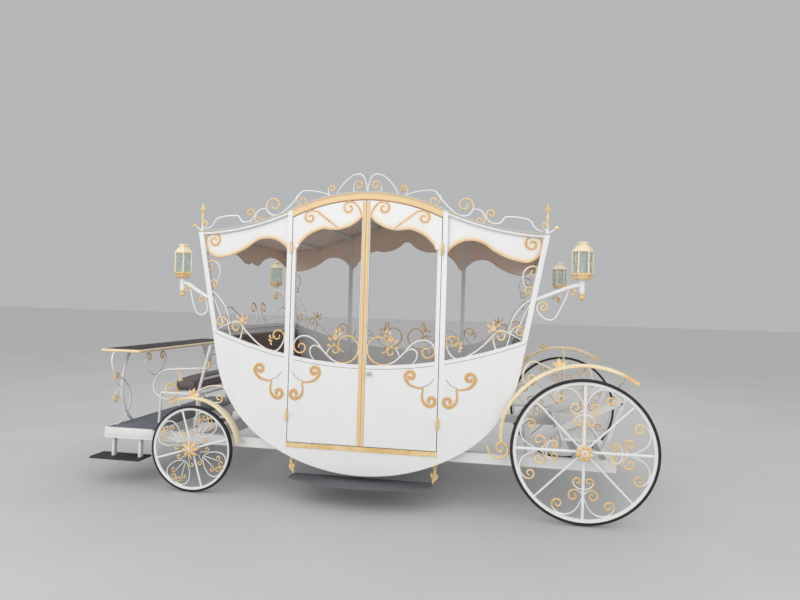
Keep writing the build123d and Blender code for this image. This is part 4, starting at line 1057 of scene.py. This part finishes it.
def lantern_parts(spot, frame_work, arm_work, bulb_work):
    """One lantern on its cranked arm, on the left."""
    x, y, z = spot
    sign = 1 if x > 0 else -1
    post_x = BELT_END_X + (z - 130 - BELT_END_Z) * LEAN_SIN / LEAN_COS
    out, across = sign * x - post_x, y - (SIDE_Y - TUBE / 2)
    reach = hypot(out, across)

    def on_arm(s, drop):
        return (sign * (post_x + out * s / reach), SIDE_Y - TUBE / 2 + across * s / reach, z + drop)

    normal = (-sign * across / reach, out / reach, 0)
    line, _ = arc_line(-20, -160, 22, [(reach * 0.6, -72), (reach, -35)], 3)
    arm_work.tube([on_arm(a, b) for a, b in line], 18, normal=normal)
    squeeze = reach / LANTERN_REACH
    for s, drop, heading, points, first, last in LANTERN_SCROLLS:
        ends_of = [(squeeze ** 0.5 * turns[0], *turns[1:]) for turns in (first, last)]
        row = (s * squeeze, drop, heading, [(squeeze * a, b) for a, b in points], *ends_of)
        arm_work.scrolls([row], on_arm, BAR, normal, fade=90)
    ball = [(0.5, -151), (9, -149), (19, -141), (23, -130), (19, -119), (14, -114), (14, -110), (22, -107)]
    stem = [(22, -60), (22, -14), (24, -8), (34, -2), (34, 1)]
    arm_work.lathe(ball + stem, spot, UP, [1] * 7 + [0.6] + [0] * 5, 24)
    base = [(30, 0), (54, 3), (62, 12), (71, 30), (79, 38), (80, 50), (70, 51), (64, 46)]
    collar = [(66, 204), (72, 203), (80, 207), (80, 214), (74, 219), (55, 244), (40, 254), (36, 260),
              (38, 264), (44, 267), (44, 279), (37, 280), (34, 270), (20, 268)]
    for profile, tones in ((base, [1, 1, 0.95, 0.9, 0.7, 0.55, 0.5, 0.5]), (collar, 0.1)):
        frame_work.lathe(profile, spot, UP, tones, 6, side=ALONG)
    for k in range(6):
        angle = 2 * pi * k / 6
        a, b = x + 72 * cos(angle), y + 72 * sin(angle)
        frame_work.tube([(a, b, h) for h in np.linspace(z + 46, z + 210, 9)], 6, 0.12, sides=8)
    flame = [(18, 50), (18, 58), (11, 62), (11, 112), (13, 118), (14, 127), (10, 142), (4, 156), (0.3, 162)]
    bulb_work.lathe(flame, spot, UP, sides=20)


frames, arms, bulbs = Work(), Work(), Work()
for spot in LANTERNS:
    lantern_parts(spot, frames, arms, bulbs)
frames.mirrored(1).finish("lantern_cages", M_CREAM_TWO, ["lantern_frames"], smooth=False)
arms.mirrored(1).finish("lantern_brackets", M_TWO, ["lantern_arms"])
bulbs.mirrored(1).finish("lantern_candles", M_BULB, ["lantern_bulbs"], slot="bulb_white")


# Driver's place

board = Work()
board.block((CONSOLE_REAR_X + 8, -CONSOLE_HALF + 8, CONSOLE_TOP_Z - 20),
            (CONSOLE_FRONT_X - 8, CONSOLE_HALF - 8, CONSOLE_TOP_Z), 4)
board.finish("console_board", M_BLACK, ["console_top"], slot="black_rubber")
rim, legs = Work(), Work()
low_x, high_x, half = CONSOLE_REAR_X + 10, CONSOLE_FRONT_X - 10, CONSOLE_HALF - 10
corners = [(high_x, half), (low_x, half), (low_x, -half), (high_x, -half)]
for a, b in zip(corners, corners[1:] + corners[:1]):
    rim.tube(straight((*a, CONSOLE_TOP_Z - 13), (*b, CONSOLE_TOP_Z - 13), 40), 12, 0.42, UP, 1.15)
rim.finish("console_edge", M_CREAM_TWO, slot="gold_paint")
leg_x = DECK_FRONT_X - 20
for x, rows, radius, fade in ((leg_x, [CONSOLE_THICK], 16, 170), (leg_x, [CONSOLE_THIN], 9, 170),
                              (CONSOLE_REAR_X + 60, CONSOLE_LYRE, BAR, 90), (leg_x, CONSOLE_CURLS, BAR, 90)):
    legs.scrolls(rows, lambda a, b: (x, a, b), radius, ALONG, fade=fade)
legs.mirrored(1).finish("console_leg_tubes", M_TWO, ["console_legs"])

seat, sides = Work(), Work()
side_y = SEAT_HALF - 18
seat.block((SEAT_REAR_X, -SEAT_HALF, SEAT_Z - 25), (SEAT_FRONT_X, SEAT_HALF, SEAT_Z), 8)
sides.scrolls(SEAT_SCROLLS, left_side(side_y), 9, fade=120)
# Tubes of one side as (start, end, radius, gold)
for a, b, radius, gold in (
        ((1569, side_y, SEAT_Z - 15), (1465, side_y, 1176), 14, 0),
        ((1937, side_y, DECK_TOP_Z), (1923, side_y, SEAT_Z - 12), 12, 0),
        ((SEAT_FOOT_X, side_y, RAIL_TOP_Z), (SEAT_FOOT_X, side_y, SEAT_Z - 12), 12, 0),
        ((1763, side_y, SEAT_Z - 20), (1740, side_y, 640), 8, 0.2),
        ((1748, side_y, 890), (1765, side_y, 978), 5, 0.7)):
    sides.tube(straight(a, b), radius, gold)
foot = [(SEAT_FOOT_X, y, RAIL_TOP_Z + 10) for y in (side_y, RAIL_Y)]
sides.tube(straight(*foot), 10, normal=UP)
sides.blooms(SEAT_BLOOMS, left_side(side_y + 6), ACROSS)
seat.absorb(sides.mirrored(1))
for x, z, size in ((1483, 1105, 10), (1466, 1172, 12), (1540, 880, 10)):
    seat.tube(straight((x, -side_y, z), (x, side_y, z), 60), size, normal=UP)
seat.finish("driver_seat_tubes", M_TWO, ["driver_seat_frame"])
deck = Work()
deck.block((DECK_REAR_X, -DECK_HALF, RAIL_TOP_Z), (DECK_FRONT_X, DECK_HALF, DECK_TOP_Z))
deck.finish("deck_boards", M_DECK, ["driver_deck"], slot="grey_wood")
fascia = Work()
fascia.block((DECK_FRONT_X - 2, -DECK_HALF - 6, RAIL_TOP_Z - 72),
             (DECK_FRONT_X + 24, DECK_HALF + 6, DECK_TOP_Z - 1), 5)
for low, high in ((DECK_HALF + 1, DECK_HALF + 14), (-DECK_HALF - 14, -DECK_HALF - 1)):
    fascia.block((DECK_REAR_X, low, RAIL_TOP_Z - 62), (DECK_FRONT_X + 10, high, DECK_TOP_Z - 1), 4)
fascia.finish("deck_fascia", M_WHITE)


# Mudguards

def guard_line(data, clearance, first, last, tail=()):
    """Points over a wheel from one angle to another, then along the tail's (radius, turn to the right)."""
    radius = data["radius"] + clearance
    line = [(data["x"] + radius * cos(radians(a)), data["radius"] + radius * sin(radians(a)))
            for a in np.linspace(first, last, 70)]
    x, z = line[-1]
    angle = radians(last - 90)
    for size, turn in tail:
        for _ in range(24):
            step = radians(turn) / 24
            x, z = x + size * step * cos(angle - step / 2), z + size * step * sin(angle - step / 2)
            angle -= step
            line.append((x, z))
    return line


def crowned(half, crown, edge_gold):
    """Section of a rolled strip as (outwards, across, gold), with a breath of gold on its middle."""
    faint = 0.05
    top = [(crown * cos(t), half * sin(t), faint + (edge_gold - faint) * abs(sin(t)) ** 3)
           for t in np.linspace(-pi / 2, pi / 2, 9)]
    return top + [(out - 4, 0.93 * across, edge_gold) for out, across, _ in top[::-1]]


def guard(work, data, line, section, widths, tips):
    """Rolled strip over a wheel; widths and tips are (share of its length, width or gold)."""
    share = np.linspace(0, 1, len(line))
    work.band([(x, data["y"], z) for x, z in line], section,
              np.interp(share, *zip(*tips)), np.interp(share, *zip(*widths)))


def stay(work, data, low, high, bend, count, thick):
    """Upright rod beside the rail that bends outwards to the guard."""
    reach = data["y"] - RAIL_Y
    line = [(data["x"], RAIL_Y, z) for z in np.linspace(low, high - bend, count)]
    line += [(data["x"], RAIL_Y + reach * (1 - cos(t)), high - bend + (bend - 4) * sin(t))
             for t in np.linspace(0.2, pi / 2, 9)]
    work.tube(line, thick, normal=ALONG)


guards = Work()
guard(guards, FRONT_WHEEL, guard_line(FRONT_WHEEL, 60, 170, 60), crowned(55, 14, 0.45),
      ((0, 1), (0.35, 1), (0.62, 0.72), (0.85, 0.42), (1, 0.16)),
      ((0, 0), (0.55, 0.05), (0.8, 0.4), (1, 0.9)))
stay(guards, FRONT_WHEEL, RAIL_TOP_Z, 2 * FRONT_WHEEL["radius"] + 56, 40, 14, 8)
foot_x = FRONT_WHEEL["x"] - FRONT_WHEEL["radius"] - 56
guards.tube(straight((foot_x, RAIL_Y + 20, 430), (foot_x, FRONT_WHEEL["y"], 430)), 9, normal=UP)
guards.scrolls(FRONT_GUARD_SCROLLS, left_side(SIDE_Y - 12), 6.5, fade=110)
guards.blooms(FRONT_GUARD_BLOOMS, left_side(SIDE_Y + 2), ACROSS)
guards.mirrored(1).finish("front_guard_strips", M_CREAM_TWO, ["front_mudguards"])
guards = Work()
line = guard_line(REAR_WHEEL, 85, 126, 30, [(0.8 * REAR_WHEEL["radius"], 38)])
guard(guards, REAR_WHEEL, line, crowned(30, 23, 0.5), ((0, 0.45), (0.1, 1), (0.9, 1), (1, 0.6)),
      ((0, 1), (0.06, 0.6), (0.16, 0.2), (0.8, 0.15), (1, 0.5)))
foot_x, foot_z = line[-1]
curl = (foot_x + 108, foot_z - 40, -95, [], None, (92, -1, 5.5))
guards.scrolls([curl], left_side(REAR_WHEEL["y"]), 9, fade=60)
guards.tube(straight((foot_x, RAIL_Y + 20, RAIL_TOP_Z), (foot_x, RAIL_Y + 20, foot_z)), 9)
guards.tube(straight((foot_x, RAIL_Y + 20, foot_z), (foot_x, REAR_WHEEL["y"], foot_z)), 9, 0.2, UP)
stay(guards, REAR_WHEEL, 570, 2 * REAR_WHEEL["radius"] + 80, 60, 20, 9)
guards.tube([(-1981, 1068, 1104), (-1980, 1050, 1075), (-1978, 1020, 1058), (-1976, 960, 1046),
             (-1974, 900, 1010), (-1972, 700, 920), (-1972, 500, 838)], 7, normal=ALONG)
guards.scrolls(REAR_GUARD_SCROLLS, left_side(SIDE_Y + 12), 6.5, fade=110)
guards.blooms(REAR_GUARD_BLOOMS, left_side(SIDE_Y + 26), ACROSS)
guards.mirrored(1).finish("rear_guard_strips", M_CREAM_TWO, ["rear_mudguards"])


# Rear rack

def diamond_mesh(work, x0, x1, y0, y1, z, pitch=24, thick=3.4, slant=0.6):
    """Expanded metal as two families of slanted wires."""
    run = (y1 - y0) * slant
    for slope in (1, -1):
        for k in range(int((x1 - x0 + run) / pitch) + 1):
            start = x0 + k * pitch - run * (slope > 0)
            points = [(start + slope * run * t, y0 + (y1 - y0) * t, z) for t in np.linspace(0, 1, 61)]
            points = [point for point in points if x0 <= point[0] <= x1]
            if len(points) > 2:
                work.tube([points[0], points[-1]], thick, normal=UP, sides=4)


rack = Work()
rack_front, rack_rear = REAR_WHEEL["x"] + 150, REAR_WHEEL["x"] - 150
diamond_mesh(rack, rack_rear + 8, rack_front - 8, -RACK_HALF + 10, RACK_HALF - 10, RACK_Z - 10)
for x in (rack_front - 8, rack_rear + 8):
    rack.block((x - 10, -RACK_HALF, RACK_Z - 20), (x + 10, RACK_HALF, RACK_Z), 4)
for y in (-RACK_HALF + 8, -RACK_SLAT_Y, RACK_SLAT_Y, RACK_HALF - 8):
    rack.block((rack_rear, y - 9, RACK_Z - 20), (rack_front, y + 9, RACK_Z - 1), 4)
rack.block((REAR_WHEEL["x"] - 25, -RACK_HALF, REAR_WHEEL["radius"] + 25),
           (REAR_WHEEL["x"] + 25, RACK_HALF, RACK_Z - 16), 4)


def beam(work, a, b, wide, y0, y1):
    """Flat beam with eased edges between two points of the side view."""
    run = np.array(b, float) - a
    side = np.array([-run[1], run[0]]) / np.hypot(*run) * wide / 2
    section = [(-1, y0 + 4), (-0.9, y0), (0.9, y0), (1, y0 + 4)]
    section += [(1, y1 - 4), (0.9, y1), (-0.9, y1), (-1, y1 - 4)]
    work.loft([[(x + side[0] * k, y, z + side[1] * k) for k, y in section] for x, z in straight(a, b, 12)])


braces = Work()
beam(braces, (-1310, RAIL_TOP_Z - 10), (-2060, 856), 60, 480, 510)
beam(braces, (-1930, RAIL_TOP_Z - 10), (-2089, 875), 34, 480, 510)
rack.absorb(braces.mirrored(1))
rack.finish("rear_rack_mesh", M_WHITE, ["rear_rack"])

brackets = Work()
brackets.scrolls(STEP_SCROLLS, left_side(RAIL_Y), 12, more_gold=0.9)
brackets.blooms(STEP_BLOOMS, left_side(RAIL_Y + 10), ACROSS)
brackets.mirrored(0).finish("step_bracket_scrolls", M_TWO, ["side_step_brackets"])


# Corner finials

def finial():
    """Spear with side curl and a ball on a strut, at the front left corner."""
    x, y, z = ROOF_END_X - 20, SIDE_Y - 30, ROOF_END_Z - 20
    work = Work()
    spear = [(14, 16), (16, 28), (10, 40), (8, 80), (9, 130), (14, 142), (9, 152), (8, 184), (16, 196),
             (19, 206), (12, 214), (9, 218), (12, 226), (9, 238), (3, 250), (0.5, 252)]
    tones = np.interp([b for _, b in spear], [10, 90, 150, 250], [0.1, 0.55, 0.9, 1.0])
    work.lathe(spear, (x, y, z), UP, tones, 14)
    for way in (-1, 1):
        arm = [(x + way * a, y, z + 198 + b) for a, b in ((0, 0), (9, 3), (17, 8), (22, 15))]
        work.tube(arm, [6, 6, 5, 3], 1.0, depth=0.8, sides=8)
    work.scrolls([(x - 4, z + 30, 120, [(x - 34, z + 66)], None, (24, -1, 4))], left_side(y), 6, fade=60)
    work.tube(straight((x, y, z + 20), (x + 60, y, z + 60)), 6.5, 0.3)
    ball = [(0.5, -17), (9, -14), (15, -7), (16.5, 0), (15, 7), (9, 14), (0.5, 17)]
    work.lathe(ball, (x + 68, y, z + 66), (0.6, 0, 0.8), 1.0, 16)
    return work.mirrored(0).mirrored(1)


finial().finish("finial_spears", M_TWO, ["corner_finials"], slot="gold_paint")


# Padded seats

def bake(pad):
    """Puts the shape that its modifiers give into a pad's mesh."""
    graph = bpy.context.evaluated_depsgraph_get()
    pad.data = bpy.data.meshes.new_from_object(pad.evaluated_get(graph))
    pad.modifiers.clear()


def corners_of(pad):
    return np.array([v.co[:] for v in pad.data.vertices])


def blow_up(pad, voxel, most, floor):
    """Simulates a pad as cloth under pressure; no corner moves further than most or below the floor, in m."""
    remesh = pad.modifiers.new("remesh", "REMESH")
    remesh.mode = "VOXEL"
    remesh.voxel_size = voxel
    bake(pad)
    before = corners_of(pad)
    cloth = pad.modifiers.new("cloth", "CLOTH")
    cloth.settings.use_pressure = True
    cloth.settings.uniform_pressure_force = 4
    cloth.settings.effector_weights.gravity = 0
    cloth.settings.quality = 4
    cloth.point_cache.frame_end = CLOTH_FRAMES
    for step in range(1, CLOTH_FRAMES + 1):
        SCENE.frame_set(step)
    bake(pad)
    SCENE.frame_set(1)
    move = corners_of(pad) - before
    length = np.linalg.norm(move, axis=1)
    after = before + move * np.minimum(1, most / np.maximum(length, 1e-9))[:, None]
    after[:, 2] = np.maximum(after[:, 2], floor)
    pad.data.vertices.foreach_set("co", after.ravel())
    pad.modifiers.new("smooth", "SUBSURF").levels = 1
    bake(pad)


def cushion(name, size, place, material, replaced, voxel, cap=24):
    """Foam pad blown up from an eased block; place puts its own axes into the cabin."""
    start = Work()
    start.block([-s / 2 for s in size], [s / 2 for s in size], 0.3 * min(size))
    mesh = bpy.data.meshes.new(name)
    mesh.from_pydata([Vector(p) / 1000 for p in start.points], [], start.faces)
    pad = placed(name, mesh)
    blow_up(pad, voxel / 1000, cap / 1000, -size[2] / 2000)
    for vert in pad.data.vertices:
        vert.co = row_point(*place(*(1000 * c for c in vert.co)))
    pad.data.materials.clear()
    pad.data.materials.append(material)
    pad.data.polygons.foreach_set("use_smooth", [True] * len(pad.data.polygons))
    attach(pad, "carriage")
    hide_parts(replaced)


for end, mirror in ENDS:
    def on_bench(a, b, c):
        return (mirror * (BENCH_X + 188 + a), b, BENCH_Z + 32 + c)

    def on_back(a, b, c):
        up, out = 250 + a, 22 - c
        return (mirror * (BELT_END_X - 165 + up * LEAN_SIN + out * LEAN_COS), b,
                BENCH_Z + up * LEAN_COS - out * LEAN_SIN)

    cushion(f"bench_pad_{end}", (360, 1740, 60), on_bench, M_LEATHER, "bench_cushions", 15)
    cushion(f"bench_back_{end}", (420, 1740, 40), on_back, M_LEATHER, "bench_cushions", 15,
            10)
cushion("driver_pad", (190, 1200, 96), lambda a, b, c: (1745 + a, b, SEAT_Z + 50 + c), M_PAD,
        "driver_seat_cushion", 12)


# Camera

def look():
    """Camera where the photographer stood, with its own yaw, pitch and roll."""
    yaw, pitch, roll = (radians(turn) for turn in CAMERA_TURNS)
    ahead = Vector((sin(yaw), -cos(yaw), 0))
    right_hand = Vector((-cos(yaw), -sin(yaw), 0))
    up = Vector(UP)
    ahead, up = ahead * cos(pitch) + up * sin(pitch), up * cos(pitch) - ahead * sin(pitch)
    right_hand, up = right_hand * cos(roll) + up * sin(roll), up * cos(roll) - right_hand * sin(roll)
    data = bpy.data.cameras.new("camera")
    data.sensor_width = SENSOR
    data.lens = PHOTO_FOCAL * SENSOR / PHOTO_WIDTH
    rows = [[*row, spot] for *row, spot in zip(right_hand, up, -ahead, CAMERA)]
    SCENE.camera = placed("camera", data)
    SCENE.camera.matrix_world = Matrix(rows + [[0, 0, 0, 1]])


look()


# Floor, light and air

def studio():
    """Pale floor and soft lamps."""
    mesh = bpy.data.meshes.new("floor")
    made = bmesh.new()
    bmesh.ops.create_grid(made, x_segments=8, y_segments=8, size=60)
    made.to_mesh(mesh)
    made.free()
    s = Shader("floor_pale")
    pale = s.ramp(s.noise(0.8, 3), (0.3, (0.49, 0.49, 0.495)), (0.8, (0.53, 0.53, 0.535)))
    s.fill(s.surface, Base_Color=pale, Roughness=0.9)
    mesh.materials.append(s.material)
    floor = placed("floor", mesh)
    floor.location.z = -0.001
    for k, (spot, size, power) in enumerate(LAMPS):
        data = bpy.data.lights.new(f"lamp_{k}", "AREA")
        data.size = size
        data.energy = power
        lamp = placed(f"lamp_{k}", data)
        lamp.location = spot
        lamp.rotation_euler = (Vector(LAMP_TARGET) - Vector(spot)).to_track_quat("-Z", "Y").to_euler()


def air():
    """World that lights evenly, and shows one colour to the camera, in mirrors and through glass."""
    world = bpy.data.worlds.new("air")
    SCENE.world = world
    world.use_nodes = True
    tree = world.node_tree
    tree.nodes.clear()
    out = tree.nodes.new("ShaderNodeOutputWorld")
    light, seen = tree.nodes.new("ShaderNodeBackground"), tree.nodes.new("ShaderNodeBackground")
    light.inputs["Color"].default_value = AIR_LIGHT
    light.inputs["Strength"].default_value = AIR_STRENGTH
    seen.inputs["Color"].default_value = AIR_SEEN
    path = tree.nodes.new("ShaderNodeLightPath")
    chosen = path.outputs["Is Camera Ray"]
    for ray in ("Is Glossy Ray", "Is Transmission Ray"):
        either = tree.nodes.new("ShaderNodeMath")
        either.operation = "MAXIMUM"
        tree.links.new(chosen, either.inputs[0])
        tree.links.new(path.outputs[ray], either.inputs[1])
        chosen = either.outputs[0]
    mixed = tree.nodes.new("ShaderNodeMixShader")
    for k, socket in enumerate((chosen, light.outputs[0], seen.outputs[0])):
        tree.links.new(socket, mixed.inputs[k])
    tree.links.new(mixed.outputs[0], out.inputs["Surface"])
    SCENE.view_settings.view_transform = "Standard"


air()
studio()
